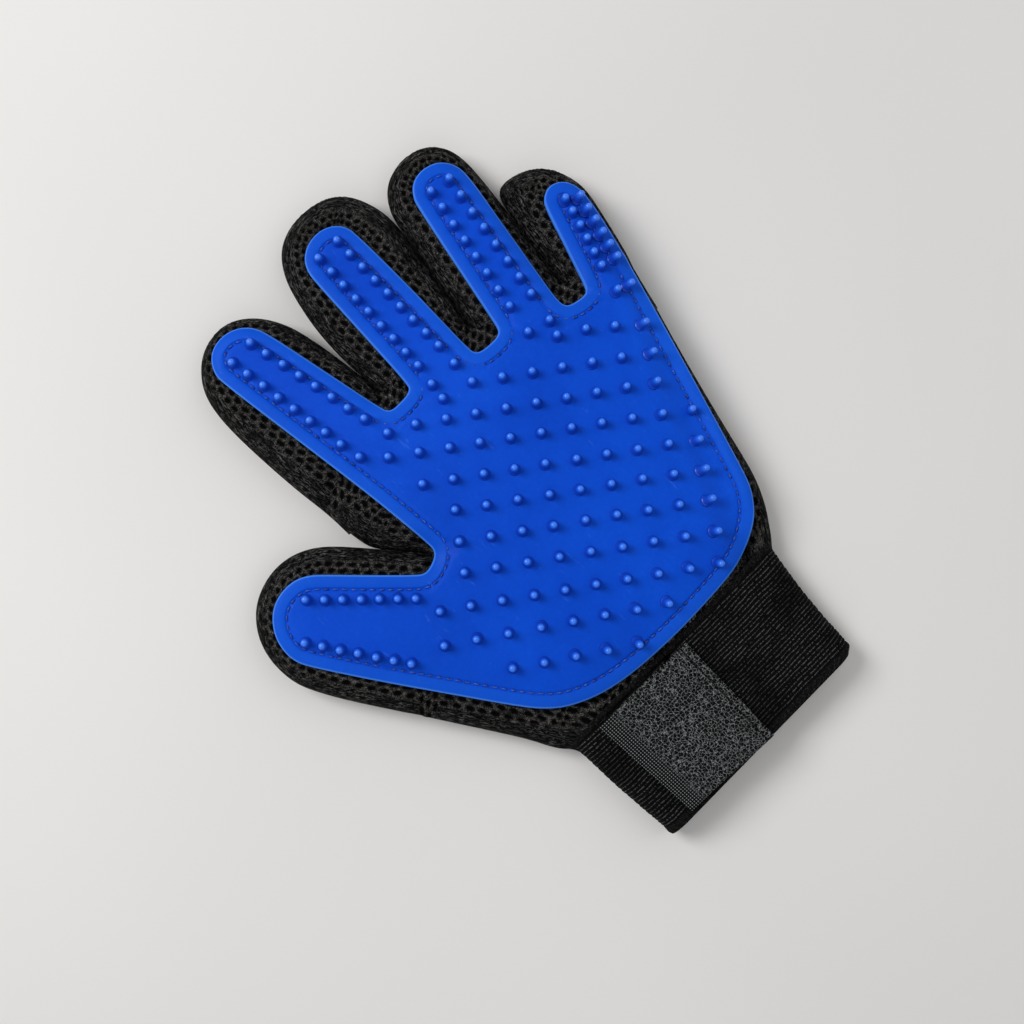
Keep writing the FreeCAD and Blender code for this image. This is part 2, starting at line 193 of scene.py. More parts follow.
def make_object(name, verts, faces, material, uv=None, attrs=None, smooth=True):
    v = np.asarray(verts, float).copy()
    v[:, 0] += DX
    v[:, 1] += DY
    me = bpy.data.meshes.new(name)
    me.from_pydata((v * MM).tolist(), [], [list(map(int, f)) for f in faces])
    me.validate()
    me.update()
    if uv is not None:
        layer = me.uv_layers.new(name="st")
        idx = np.empty(len(me.loops), int)
        me.loops.foreach_get("vertex_index", idx)
        layer.data.foreach_set("uv", np.asarray(uv, float)[idx].astype(np.float32).ravel())
    for k, a in (attrs or {}).items():
        at = me.attributes.new(k, "FLOAT", "POINT")
        at.data.foreach_set("value", np.asarray(a, np.float32))
    if smooth:
        me.polygons.foreach_set("use_smooth", np.ones(len(me.polygons), bool))
    ob = bpy.data.objects.new(name, me)
    scene.collection.objects.link(ob)
    if material is not None:
        me.materials.append(material)
    return ob


def subset(verts, faces, keep, *per_vertex):
    """the kept faces with their vertices renumbered"""
    F = [f for f, k in zip(faces, keep) if k]
    used = np.zeros(len(verts), bool)
    for f in F:
        used[list(f)] = True
    remap = np.cumsum(used) - 1
    F = [[int(remap[i]) for i in f] for f in F]
    return verts[used], F, [a[used] for a in per_vertex]


# ------------------------------------------------------------------ the drawing of the glove (mm)
FINGER = {
    "index_finger": dict(tag="index", root=(-26.4, 34.0), tip=(-31.6, 93.6), outline=[
        (-48.2, 30), (-48.4, 40), (-50.2, 54), (-51.4, 71), (-51.8, 84), (-51.2, 94), (-49.0, 102), (-44.6, 108.0), (-39.2, 112.2),
        (-32.0, 114.2), (-25.4, 113.4), (-19.8, 110.0), (-15.0, 104.6), (-11.2, 97.0), (-9.2, 89), (-7.4, 78.7), (-5.8, 66),
        (-5.0, 52), (-5.4, 40), (-6, 28)]),
    "middle_finger": dict(tag="middle", root=(13.2, 30.0), tip=(18.4, 101.6), outline=[
        (-4.2, 26), (-4.8, 40), (-5.2, 52), (-5.9, 66), (-6.3, 79), (-5.4, 91), (-3.2, 102), (-0.6, 110.4), (4.0, 117.6), (10.0, 121.6),
        (17.2, 123.2), (24.8, 122.8), (31.8, 120.4), (37.0, 115.4), (40.2, 107.6), (41.4, 99.7), (40.4, 90), (37.0, 72),
        (33.6, 53), (31.6, 40), (30.6, 26)]),
    "ring_finger": dict(tag="ring", root=(47.6, 24.0), tip=(58.2, 94.0), outline=[
        (30.6, 24), (32.0, 38), (34.0, 53), (37.4, 72), (40.6, 90), (41.9, 99.4), (45.4, 105.8), (50.0, 109.8), (56.0, 111.8),
        (61.8, 111.8), (67.4, 110.0), (71.6, 106.4), (74.2, 101.6), (75.0, 95.0), (74.4, 87), (73.4, 79), (71.2, 64), (68.4, 46),
        (66.2, 32), (64.6, 20)]),
    "little_finger": dict(tag="little", root=(76.6, 14.0), tip=(84.9, 64.0), outline=[
        (64.4, 16), (66.6, 31), (68.8, 46), (71.4, 63), (72.8, 73), (74.6, 79.0), (79.0, 80.6), (86.0, 79.0), (91.6, 75.6), (95.6, 70.0),
        (97.6, 63.6), (98.0, 57.6), (96.0, 48.0), (92.4, 34.0), (88.6, 20), (86.0, 10)]),
    "thumb": dict(tag="thumb", root=(-38.0, -26.0), tip=(-73.2, 13.4), outline=[
        (-52.0, -66.0), (-60.4, -54.2), (-70.9, -38), (-80.0, -24.2), (-88.6, -11.1), (-94.2, -1.3), (-97.4, 6.0), (-98.2, 14.3),
        (-97.2, 21.5), (-94.4, 28.0), (-89.8, 33.6), (-84.0, 37.2), (-77.2, 39.2), (-70.6, 39.2), (-64.8, 37.6), (-59.4, 34.6),
        (-54.6, 30.4), (-47.8, 22.8), (-39.6, 13.2), (-31.4, 3.2), (-22.0, -8.0)]),
}
PALM = [(51.6, -84), (53.2, -78.5), (57.2, -73.2), (62.4, -66.0), (67.2, -55.9), (71.6, -38.5), (75.7, -22.8), (81.0, -4.0), (86.8, 15), (89.6, 25.4),
        (86.0, 31.6), (78.0, 31.0), (71.0, 35.0), (67.2, 44.0), (63.4, 39.0), (56.0, 38.2), (44.0, 40.6), (36.6, 45.6),
        (33.2, 54.5), (28.6, 49.2), (20.0, 46.8), (6.0, 47.4), (-1.8, 52.4), (-5.2, 62.0), (-9.0, 52.6), (-18.0, 47.2),
        (-34.0, 44.4), (-44.0, 43.6), (-48.3, 40.0), (-47.8, 32.0), (-46.9, 25.0), (-45.4, 20.0), (-38.6, 11.8), (-31.4, 3.4), (-36.0, -2.4),
        (-46.0, -10.6), (-58.0, -20.4), (-70.0, -30.2), (-73.6, -34.0), (-70.0, -39.6), (-60.0, -55.0), (-54.0, -64.4), (-49.4, -73.6), (-45.2, -78.2), (-43.4, -84)]
PAD = [(60.6, 101.9), (65.6, 100.3), (69.2, 96.6), (70.7, 91.0), (66.9, 70.0), (62.9, 48.0), (60.7, 36.0), (60.9, 32.6), (62.6, 31.0), (68.4, 29.9), (70.8, 31.2),
       (75.8, 46.0), (80.9, 61.6), (83.1, 64.8), (87.3, 66.5), (92.0, 64.8), (94.4, 61.3), (95.2, 55.8), (91.2, 38.0), (83.0, 9.5), (73.2, -22.0),
       (63.5, -53.0), (61.0, -58.6), (57.0, -63.9), (52.2, -67.9), (44.9, -71.6), (36.1, -73.7), (20.0, -74.6), (5.3, -74.8), (-12.7, -73.7),
       (-25.9, -70.9), (-35.7, -66.3), (-41.0, -62.2), (-46.5, -56.2), (-60.9, -35.6), (-75.6, -14.5), (-89.0, 5.8), (-91.2, 10.6), (-91.6, 15.4), (-90.3, 21.2),
       (-86.9, 26.3), (-82.4, 29.6), (-77.0, 30.9), (-71.5, 30.4), (-67.0, 28.0), (-62.9, 24.1), (-51.9, 12.8), (-40.9, 1.9), (-38.9, 0.7), (-36.5, 0.7), (-32.8, 2.2),
       (-31.2, 3.8), (-30.8, 6.2), (-32.1, 20.6), (-33.6, 35.1), (-37.8, 66.2), (-42.0, 97.4), (-41.7, 101.6), (-39.2, 106.1), (-35.4, 108.6), (-29.8, 109.2), (-24.5, 107.3),
       (-21.0, 103.9), (-19.0, 99.5), (-14.0, 75.0), (-9.1, 51.0), (-8.2, 49.4), (-6.3, 48.5), (-0.9, 48.6), (1.6, 49.2), (3.0, 51.0), (4.3, 75.8), (5.6, 100.3), (6.4, 105.0),
       (9.0, 108.9), (13.6, 111.4), (19.0, 111.8), (23.6, 110.0), (26.7, 106.6), (27.7, 102.4), (27.7, 76.4), (27.2, 60.0), (26.8, 44.9), (27.2, 42.9), (28.8, 41.5), (33.4, 41.0),
       (36.7, 41.2), (38.4, 42.2), (39.4, 44.6), (44.4, 69.0), (49.8, 94.3), (51.0, 97.2), (53.5, 100.2), (56.8, 101.7)]

for f in FINGER.values():
    f["curve"] = resample(chaikin(f["outline"], False), 0.5)[0]
PALM_CURVE, _ = resample(chaikin(PALM, True, 3), 0.55, True)
PAD_CURVE, _ = resample(chaikin(PAD, True, 2), 0.6, True)

# lines where the glove's upper surface rolls over: the outer silhouette and the valleys between fingers
ROLL = []
for name, f in FINGER.items():
    o, d, p = joint_axes(name)
    c = f["curve"]
    u = (c - o) @ d
    ROLL.append(c[u > (7.0 if name != "thumb" else 3.0)])
pc = PALM_CURVE
ROLL.append(pc[(pc[:, 0] > 40) & (pc[:, 1] < 26)])
ROLL.append(pc[(pc[:, 0] < -44) & (pc[:, 1] < -36)])
web = pc[(pc[:, 0] < -31) & (pc[:, 1] > 4) & (pc[:, 1] < 41)]
ROLL.append(web)
ROLL = [r for r in ROLL if len(r) > 2]
ROLL_COARSE = [resample(r, 1.6)[0] for r in ROLL]

ZC = 8.2                        # height of the glove's widest line
FAB_TOP = 15.9                  # top of the fabric on the fingers
PAD_T = 2.6


def crown(P):
    x, y = P[:, 0], P[:, 1]
    return 1.7 * np.exp(-(((x - 6) / 50) ** 2 + ((y + 16) / 52) ** 2))


def wrist(P):
    return sstep(-80, -60, P[:, 1])


def pad_bottom(P):
    d = seg_distance(P, ROLL_COARSE)
    z = FAB_TOP + 0.25 + crown(P) - 2.5 * (1 - sstep(0, 9.5, d))
    z -= 2.3 * (1 - sstep(-78, -56, P[:, 1]))
    z += 0.35 * fbm(P[:, 0] / 34, P[:, 1] / 34, 3.0)
    return z


# ------------------------------------------------------------------ materials
def new_material(name):
    m = bpy.data.materials.new(name)
    m.use_nodes = True
    nt = m.node_tree
    for n in list(nt.nodes):
        nt.nodes.remove(n)
    out = nt.nodes.new("ShaderNodeOutputMaterial")
    bsdf = nt.nodes.new("ShaderNodeBsdfPrincipled")
    nt.links.new(bsdf.outputs[0], out.inputs["Surface"])
    return m, nt, bsdf


def node(nt, kind, **values):
    n = nt.nodes.new(kind)
    for k, v in values.items():
        if k in n.inputs:
            n.inputs[k].default_value = v
        else:
            setattr(n, k, v)
    return n


def math_node(nt, op, a, b=None, clamp=False):
    n = nt.nodes.new("ShaderNodeMath")
    n.operation = op
    n.use_clamp = clamp
    for i, v in enumerate((a, b)):
        if v is None:
            continue
        if isinstance(v, (int, float)):
            n.inputs[i].default_value = v
        else:
            nt.links.new(v, n.inputs[i])
    return n.outputs[0]


def ramp(nt, fac, stops):
    n = nt.nodes.new("ShaderNodeValToRGB")
    e = n.color_ramp.elements
    while len(e) < len(stops):
        e.new(0.5)
    for el, (pos, col) in zip(e, stops):
        el.position = pos
        el.color = (*col, 1)
    nt.links.new(fac, n.inputs[0])
    return n.outputs[0]


def coords(nt, scale=(1, 1, 1)):
    c = nt.nodes.new("ShaderNodeTexCoord")
    m = nt.nodes.new("ShaderNodeMapping")
    m.inputs["Scale"].default_value = scale
    nt.links.new(c.outputs["Object"], m.inputs["Vector"])
    return m.outputs[0]


def noise(nt, vec, scale, detail=3.0, rough=0.55):
    n = nt.nodes.new("ShaderNodeTexNoise")
    n.inputs["Scale"].default_value = scale
    n.inputs["Detail"].default_value = detail
    n.inputs["Roughness"].default_value = rough
    nt.links.new(vec, n.inputs["Vector"])
    return n.outputs[0]


def bump(nt, bsdf, height, distance, strength=1.0, prev=None):
    b = nt.nodes.new("ShaderNodeBump")
    b.inputs["Distance"].default_value = distance
    b.inputs["Strength"].default_value = strength
    nt.links.new(height, b.inputs["Height"])
    if prev is not None:
        nt.links.new(prev, b.inputs["Normal"])
    nt.links.new(b.outputs[0], bsdf.inputs["Normal"])
    return b.outputs[0]


def uv_st(nt):
    u = nt.nodes.new("ShaderNodeUVMap")
    u.uv_map = "st"
    s = nt.nodes.new("ShaderNodeSeparateXYZ")
    nt.links.new(u.outputs[0], s.inputs[0])
    return u.outputs[0], s.outputs[0], s.outputs[1]


def attr(nt, name):
    a = nt.nodes.new("ShaderNodeAttribute")
    a.attribute_name = name
    return a.outputs["Fac"]


def vec_map(nt, vec, scale, loc=(0, 0, 0)):
    m = nt.nodes.new("ShaderNodeMapping")
    m.inputs["Scale"].default_value = scale
    m.inputs["Location"].default_value = loc
    nt.links.new(vec, m.inputs["Vector"])
    return m.outputs[0]


def noise_d(nt, vec, detail=2.0, rough=0.5, distortion=0.0):
    n = nt.nodes.new("ShaderNodeTexNoise")
    n.inputs["Scale"].default_value = 1.0
    n.inputs["Detail"].default_value = detail
    n.inputs["Roughness"].default_value = rough
    n.inputs["Distortion"].default_value = distortion
    nt.links.new(vec, n.inputs["Vector"])
    return n.outputs[0]


def band(nt, fac, a, b_):
    """0 below a, 1 above b_"""
    m = nt.nodes.new("ShaderNodeMapRange")
    m.interpolation_type = "SMOOTHSTEP"
    m.inputs["From Min"].default_value = a
    m.inputs["From Max"].default_value = b_
    nt.links.new(fac, m.inputs["Value"])
    return m.outputs[0]


def mix_col(nt, fac, a, b_):
    m = nt.nodes.new("ShaderNodeMix")
    m.data_type = "RGBA"
    nt.links.new(fac, m.inputs["Factor"])
    for key_, v in (("A", a), ("B", b_)):
        if isinstance(v, tuple):
            m.inputs[key_].default_value = (*v, 1)
        else:
            nt.links.new(v, m.inputs[key_])
    return m.outputs["Result"]


def mat_rubber(name="blue_rubber", nub=False):
    m, nt, b = new_material(name)
    obj = coords(nt)
    big = noise(nt, obj, 22.0, 3.0)
    fine = noise(nt, obj, 700.0, 4.0, 0.6)
    grain = noise(nt, obj, 2400.0, 2.0)
    mixed = math_node(nt, "ADD", math_node(nt, "MULTIPLY", big, 0.7), math_node(nt, "MULTIPLY", fine, 0.3))
    if nub:
        # nub rubber: the body is painted a darker blue than the pad, a painted shade on the nubs' sides, and the tip,
        # by the "tip" attribute, is painted light blue, a painted highlight
        tip = attr(nt, "tip")
        col = mix_col(nt, tip, ramp(nt, mixed, [(0.3, (0.0016, 0.042, 0.44)), (0.7, (0.0024, 0.058, 0.54))]), (0.025, 0.190, 0.95))
    else:
        col = ramp(nt, mixed, [(0.34, (0.0008, 0.056, 0.520)), (0.5, (0.0010, 0.065, 0.580)), (0.66, (0.0020, 0.078, 0.640))])
        uv, s, v = uv_st(nt)
        rim = math_node(nt, "SUBTRACT", 1.0, band(nt, v, 4.0, 4.5))
        col = mix_col(nt, math_node(nt, "MULTIPLY", rim, 0.30), col, (0.008, 0.120, 0.68))
        # painted highlight: a bright light-blue line painted along the pad's rounded rim, 0.2 to 0.85 mm in from the
        # edge
        rim_highlight_paint = math_node(nt, "SUBTRACT", 1.0, band(nt, v, 0.20, 0.85))
        col = mix_col(nt, math_node(nt, "MULTIPLY", rim_highlight_paint, 0.75), col, (0.08, 0.30, 0.98))
    sc = noise_d(nt, coords(nt, (430, 75, 200)), 5.0, 0.6, 1.4)
    scuff = band(nt, sc, 0.655, 0.70)
    spk = nt.nodes.new("ShaderNodeTexVoronoi")
    spk.inputs["Scale"].default_value = 190.0
    nt.links.new(obj, spk.inputs["Vector"])
    dust = math_node(nt, "SUBTRACT", 1.0, band(nt, spk.outputs["Distance"], 0.02, 0.07))
    wear = math_node(nt, "ADD", math_node(nt, "MULTIPLY", scuff, 0.10), math_node(nt, "MULTIPLY", dust, 0.12), True)
    col = mix_col(nt, wear, col, (0.10, 0.30, 0.95))
    nt.links.new(col, b.inputs["Base Color"])
    nt.links.new(math_node(nt, "ADD", math_node(nt, "MULTIPLY", mixed, 0.25), 0.24 if nub else 0.36), b.inputs["Roughness"])
    n1 = bump(nt, b, big, 0.0008, 0.3)
    n2 = bump(nt, b, fine, 0.00005, 0.6, n1)
    bump(nt, b, grain, 0.00002, 0.5, n2)
    b.inputs["Specular IOR Level"].default_value = 0.65 if nub else 0.07
    return m


def mat_thread(name, dark, light, rough=0.5):
    m, nt, b = new_material(name)
    obj = coords(nt)
    tw = noise_d(nt, coords(nt, (1500, 1500, 1500)), 3.0, 0.6, 1.0)
    lump = noise(nt, obj, 420.0, 2.0)
    f = math_node(nt, "ADD", math_node(nt, "MULTIPLY", tw, 0.6), math_node(nt, "MULTIPLY", lump, 0.4))
    nt.links.new(ramp(nt, f, [(0.40, dark), (0.62, light)]), b.inputs["Base Color"])
    b.inputs["Roughness"].default_value = rough
    b.inputs["Specular IOR Level"].default_value = 0.4
    bump(nt, b, f, 0.00012, 0.8)
    return m


def cloth_base(name):
    m, nt, b = new_material(name)
    b.inputs["Roughness"].default_value = 0.82
    b.inputs["Specular IOR Level"].default_value = 0.05
    b.inputs["Sheen Weight"].default_value = 0.0
    b.inputs["Sheen Roughness"].default_value = 0.5
    return m, nt, b


def mat_rib():
    """dense knit: long streaky strands that follow the finger's edge"""
    m, nt, b = cloth_base("ribbed_knit")
    uv, s, v = uv_st(nt)
    rel = attr(nt, "relief")
    a = noise_d(nt, vec_map(nt, uv, (0.42, 2.7, 1)), 2.0, 0.55, 0.5)
    c = noise_d(nt, vec_map(nt, uv, (0.95, 3.6, 1), (7.3, 1.1, 0)), 2.0, 0.5, 0.9)
    strands = math_node(nt, "MAXIMUM", band(nt, a, 0.540, 0.60), math_node(nt, "MULTIPLY", band(nt, c, 0.56, 0.63), 0.75))
    patch = band(nt, noise_d(nt, vec_map(nt, uv, (0.16, 0.30, 1)), 2.0), 0.34, 0.62)
    glint = math_node(nt, "MULTIPLY", math_node(nt, "MULTIPLY", strands, math_node(nt, "ADD", math_node(nt, "MULTIPLY", rel, 0.9), 0.12)), math_node(nt, "ADD", math_node(nt, "MULTIPLY", patch, 0.65), 0.35), True)
    nt.links.new(mix_col(nt, glint, (0.0006, 0.0006, 0.0007), (0.135, 0.131, 0.125)), b.inputs["Base Color"])
    n1 = bump(nt, b, a, 0.0005, 0.7)
    bump(nt, b, c, 0.00022, 0.6, n1)
    return m


def mat_mesh():
    """open warp knit: fine twisted yarns round dark holes"""
    m, nt, b = cloth_base("black_mesh")
    uv, s, v = uv_st(nt)
    rel = attr(nt, "relief")
    a = noise_d(nt, vec_map(nt, uv, (1.25, 2.0, 1)), 2.0, 0.5, 2.2)
    c = noise_d(nt, vec_map(nt, uv, (2.6, 3.2, 1), (3.1, 5.2, 0)), 2.0, 0.5, 1.2)
    ra = math_node(nt, "ABSOLUTE", math_node(nt, "SUBTRACT", a, 0.5))
    curl = math_node(nt, "SUBTRACT", 1.0, band(nt, ra, 0.005, 0.026))
    strands = math_node(nt, "MAXIMUM", curl, math_node(nt, "MULTIPLY", band(nt, c, 0.56, 0.66), 0.7))
    glint = math_node(nt, "MULTIPLY", strands, math_node(nt, "POWER", rel, 1.8), True)
    nt.links.new(mix_col(nt, glint, (0.0009, 0.0009, 0.0010), (0.300, 0.285, 0.262)), b.inputs["Base Color"])
    n1 = bump(nt, b, a, 0.0004, 0.7)
    bump(nt, b, c, 0.0002, 0.6, n1)
    return m


def mat_plain(name, dark, light, sx=2.2, sy=2.2, gain=1.0):
    m, nt, b = cloth_base(name)
    uv, s, v = uv_st(nt)
    rel = attr(nt, "relief")
    a = noise_d(nt, vec_map(nt, uv, (sx, sy, 1)), 3.0, 0.6, 0.8)
    g = math_node(nt, "MULTIPLY", band(nt, a, 0.44, 0.66), math_node(nt, "MULTIPLY", rel, gain), True)
    nt.links.new(mix_col(nt, g, dark, light), b.inputs["Base Color"])
    bump(nt, b, a, 0.0003, 0.7)
    return m


def mat_elastic():
    """woven elastic: cords run round the wrist, in pairs, with short lit stitches along them"""
    m, nt, b = cloth_base("black_elastic")
    uv, s, v = uv_st(nt)
    wav = noise_d(nt, vec_map(nt, uv, (0.10, 0.12, 1)), 2.0)
    y = math_node(nt, "ADD", v, math_node(nt, "MULTIPLY", wav, 1.3))
    fr = math_node(nt, "FRACT", math_node(nt, "ADD", math_node(nt, "DIVIDE", y, 1.36), 200.0))
    line = math_node(nt, "SUBTRACT", 1.0, band(nt, math_node(nt, "ABSOLUTE", math_node(nt, "SUBTRACT", fr, 0.5)), 0.06, 0.22))
    fr2 = math_node(nt, "FRACT", math_node(nt, "ADD", math_node(nt, "DIVIDE", y, 2.72), 200.0))
    pair = band(nt, math_node(nt, "ABSOLUTE", math_node(nt, "SUBTRACT", fr2, 0.5)), 0.05, 0.30)
    dash = band(nt, noise_d(nt, vec_map(nt, uv, (1.5, 1.1, 1)), 2.0, 0.6), 0.40, 0.60)
    cross = band(nt, noise_d(nt, vec_map(nt, uv, (3.4, 1.0, 1), (9, 2, 0)), 2.0, 0.6), 0.46, 0.60)
    g = math_node(nt, "MULTIPLY", math_node(nt, "MULTIPLY", line, dash), math_node(nt, "ADD", math_node(nt, "MULTIPLY", pair, 0.65), 0.35))
    g = math_node(nt, "ADD", g, math_node(nt, "MULTIPLY", cross, 0.05), True)
    patch = band(nt, noise_d(nt, vec_map(nt, uv, (0.05, 0.07, 1), (4, 4, 0)), 2.0), 0.30, 0.66)
    g = math_node(nt, "MULTIPLY", g, math_node(nt, "ADD", math_node(nt, "MULTIPLY", patch, 0.7), 0.35), True)
    nt.links.new(mix_col(nt, g, (0.0007, 0.0007, 0.0008), (0.098, 0.097, 0.095)), b.inputs["Base Color"])
    bump(nt, b, math_node(nt, "ADD", line, math_node(nt, "MULTIPLY", cross, 0.4)), 0.00022, 0.8)
    return m


def mat_hook():
    """hook tape: a grey maze of short monofilament loops, with a regular woven selvedge"""
    m, nt, b = cloth_base("grey_hook_tape")
    uv, s, v = uv_st(nt)
    rel = attr(nt, "relief")
    vor = nt.nodes.new("ShaderNodeTexVoronoi")
    vor.feature = "DISTANCE_TO_EDGE"
    vor.inputs["Scale"].default_value = 0.80
    vor.inputs["Randomness"].default_value = 0.80
    nt.links.new(uv, vor.inputs["Vector"])
    walls = math_node(nt, "SUBTRACT", 1.0, band(nt, vor.outputs["Distance"], 0.02, 0.13))
    brk = band(nt, noise_d(nt, vec_map(nt, uv, (2.4, 2.4, 1)), 2.0, 0.6), 0.40, 0.56)
    maze = math_node(nt, "MULTIPLY", walls, math_node(nt, "ADD", math_node(nt, "MULTIPLY", brk, 0.8), 0.2))
    gx = math_node(nt, "ABSOLUTE", math_node(nt, "SUBTRACT", math_node(nt, "FRACT", math_node(nt, "ADD", math_node(nt, "DIVIDE", s, 1.0), 100.0)), 0.5))
    gy = math_node(nt, "ABSOLUTE", math_node(nt, "SUBTRACT", math_node(nt, "FRACT", math_node(nt, "ADD", math_node(nt, "DIVIDE", v, 0.86), 200.0)), 0.5))
    dots = math_node(nt, "MULTIPLY", math_node(nt, "SUBTRACT", 1.0, band(nt, gx, 0.12, 0.34)), math_node(nt, "SUBTRACT", 1.0, band(nt, gy, 0.14, 0.36)))
    left = math_node(nt, "SUBTRACT", 1.0, band(nt, s, -29.5, -25.0))
    pick = math_node(nt, "ADD", math_node(nt, "MULTIPLY", left, 0.85), 0.18, True)
    h = math_node(nt, "ADD", math_node(nt, "MULTIPLY", maze, math_node(nt, "SUBTRACT", 1.05, left, True)), math_node(nt, "MULTIPLY", dots, pick), True)
    rightline = math_node(nt, "SUBTRACT", 1.0, band(nt, math_node(nt, "ABSOLUTE", math_node(nt, "SUBTRACT", s, 4.5)), 0.12, 0.42))
    h = math_node(nt, "MULTIPLY", h, math_node(nt, "SUBTRACT", 1.0, math_node(nt, "MULTIPLY", rightline, 0.8)), True)
    nt.links.new(mix_col(nt, math_node(nt, "POWER", h, 1.35), (0.0020, 0.0021, 0.0022), (0.235, 0.243, 0.248)), b.inputs["Base Color"])
    bump(nt, b, h, 0.0004, 0.9)
    return m


M_RUBBER = mat_rubber()
M_NUB = mat_rubber("blue_rubber_nubs", True)
M_THREAD_N = mat_thread("navy_thread", (0.0012, 0.012, 0.150), (0.020, 0.110, 0.62), 0.42)
M_THREAD_K = mat_thread("black_thread", (0.002, 0.002, 0.0022), (0.05, 0.05, 0.052), 0.55)
M_MESH = mat_mesh()
M_KNIT = mat_rib()
M_JERSEY = mat_plain("black_jersey", (0.0022, 0.0022, 0.0024), (0.040, 0.040, 0.041), 1.3, 1.3, 1.2)
M_ELASTIC = mat_elastic()
M_BINDING = mat_plain("black_binding", (0.0016, 0.0016, 0.0017), (0.034, 0.033, 0.033), 2.6, 1.6, 1.0)
M_LOOP = mat_plain("black_loop_tape", (0.0030, 0.0030, 0.0030), (0.045, 0.045, 0.045), 2.8, 2.8, 1.5)
M_HOOK = mat_hook()

# ------------------------------------------------------------------ knit structure, as relief in 0..1 and a height in mm
def net_relief(s, t):
    """open warp-knit: staggered long holes with twisted yarns between"""
    s = s + 0.55 * vnoise(s / 5.0, t / 3.0, 5.0)
    t = t + 0.55 * vnoise(s / 4.0 + 9, t / 4.0, 6.0)
    P, Q = 4.5, 2.5
    row = np.floor(t / Q)
    fa = (s / P + 0.5 * np.mod(row, 2)) % 1.0 - 0.5
    fb = (t / Q) % 1.0 - 0.5
    wob = 0.10 * vnoise(np.floor(s / P) * 3.1 + row, row * 1.7, 2.0)
    r2 = np.sqrt((fa / (0.40 + wob)) ** 2 + (fb / 0.42) ** 2)
    solid = sstep(0.62, 1.02, r2)
    strand = 0.5 + 0.5 * np.cos(2 * np.pi * (t / 0.62 + 0.8 * vnoise(s / 1.3, t / 1.1, 8.0)))
    rel = solid * (0.45 + 0.55 * strand)
    return rel, -0.95 * (1 - solid) + 0.16 * strand * solid


def rib_relief(s, t):
    """dense knit with strands running along s"""
    tt = t + 0.42 * vnoise(s / 9.0, t / 2.6, 11.0) + 0.16 * vnoise(s / 2.2, t / 1.2, 12.0)
    major = 0.5 + 0.5 * np.cos(2 * np.pi * tt / 1.55)
    minor = 0.5 + 0.5 * np.cos(2 * np.pi * tt / 0.72 + 1.0)
    br = sstep(-0.22, 0.12, vnoise(s / 1.9, tt / 0.9, 15.0))
    rel = (0.20 + 0.50 * major + 0.30 * minor) * (0.35 + 0.65 * br)
    return rel, 0.26 * (major - 0.5) + 0.12 * (minor - 0.5) + 0.10 * (br - 0.5)


def jersey_relief(s, t):
    a = 0.5 + 0.5 * np.cos(2 * np.pi * s / 1.3)
    c = 0.5 + 0.5 * np.cos(2 * np.pi * t / 1.1 + 2.2 * a)
    rel = 0.25 + 0.4 * a + 0.35 * c
    return rel, 0.05 * (a - 0.5) + 0.05 * (c - 0.5)

# ------------------------------------------------------------------ heights shared by every soft piece
SIL_LINES = ROLL
PAD_LINES = [np.vstack([PAD_CURVE, PAD_CURVE[:1]])]


def nearest(P, line):
    """distance to a polyline and the arc length of the nearest point"""
    A, B = line[:-1], line[1:]
    AB = B - A
    L2 = np.maximum((AB ** 2).sum(1), 1e-12)
    seg = np.sqrt(L2)
    s0 = np.concatenate([[0], np.cumsum(seg)[:-1]])
    D, S = np.empty(len(P)), np.empty(len(P))
    for i in range(0, len(P), 4000):
        q = P[i:i + 4000, None, :] - A[None]
        t = np.clip((q * AB[None]).sum(2) / L2[None], 0, 1)
        r = q - t[..., None] * AB[None]
        d2 = (r ** 2).sum(2)
        k = d2.argmin(1)
        n = np.arange(len(k))
        D[i:i + 4000] = np.sqrt(d2[n, k])
        S[i:i + 4000] = s0[k] + t[n, k] * seg[k]
    return D, S


def nearest_many(P, lines):
    D = np.full(len(P), 1e9)
    S = np.zeros(len(P))
    base = 0.0
    for ln in lines:
        d, s = nearest(P, ln)
        total = np.hypot(*np.diff(ln, axis=0).T).sum()
        # past a line's end the strands run straight on
        for at, q, r in ((s <= 1e-6, ln[0], ln[min(6, len(ln) - 1)]), (s >= total - 1e-6, ln[-1], ln[max(-7, -len(ln))])):
            t = (q - r) / max(np.hypot(*(q - r)), 1e-9)
            w = P - q
            s = np.where(at, s + np.where(s > total / 2, 1, -1) * np.maximum(w @ t, 0), s)
        m = d < D
        D[m] = d[m]
        S[m] = s[m] + base
        base += 1000.0
    return D, S


def end_fade(P, lines):
    """1 along the lines, 0 where the nearest point is a line's end"""
    D = np.full(len(P), 1e9)
    E = np.ones(len(P))
    for ln in lines:
        d, s = nearest(P, ln)
        total = np.hypot(*np.diff(ln, axis=0).T).sum()
        e = sstep(0.0, 2.0, s) * (1 - sstep(total - 2.0, total, s))
        m = d < D
        D[m] = d[m]
        E[m] = e[m]
    return E


def quarter(t):
    t = np.clip(t, 0, 1)
    return np.sqrt(np.maximum(1 - (1 - t) ** 2, 0))


def triangulate(loop, pts):
    """constrained triangulation of a closed loop with extra points inside it"""
    n = len(loop)
    co = [Vector((float(x), float(y))) for x, y in np.vstack([loop, pts])]
    edges = [(i, (i + 1) % n) for i in range(n)]
    v, e, f, ov, oe, of_ = delaunay_2d_cdt(co, edges, [], 1, 1e-6)
    return np.array([(p.x, p.y) for p in v]), [list(t) for t in f]


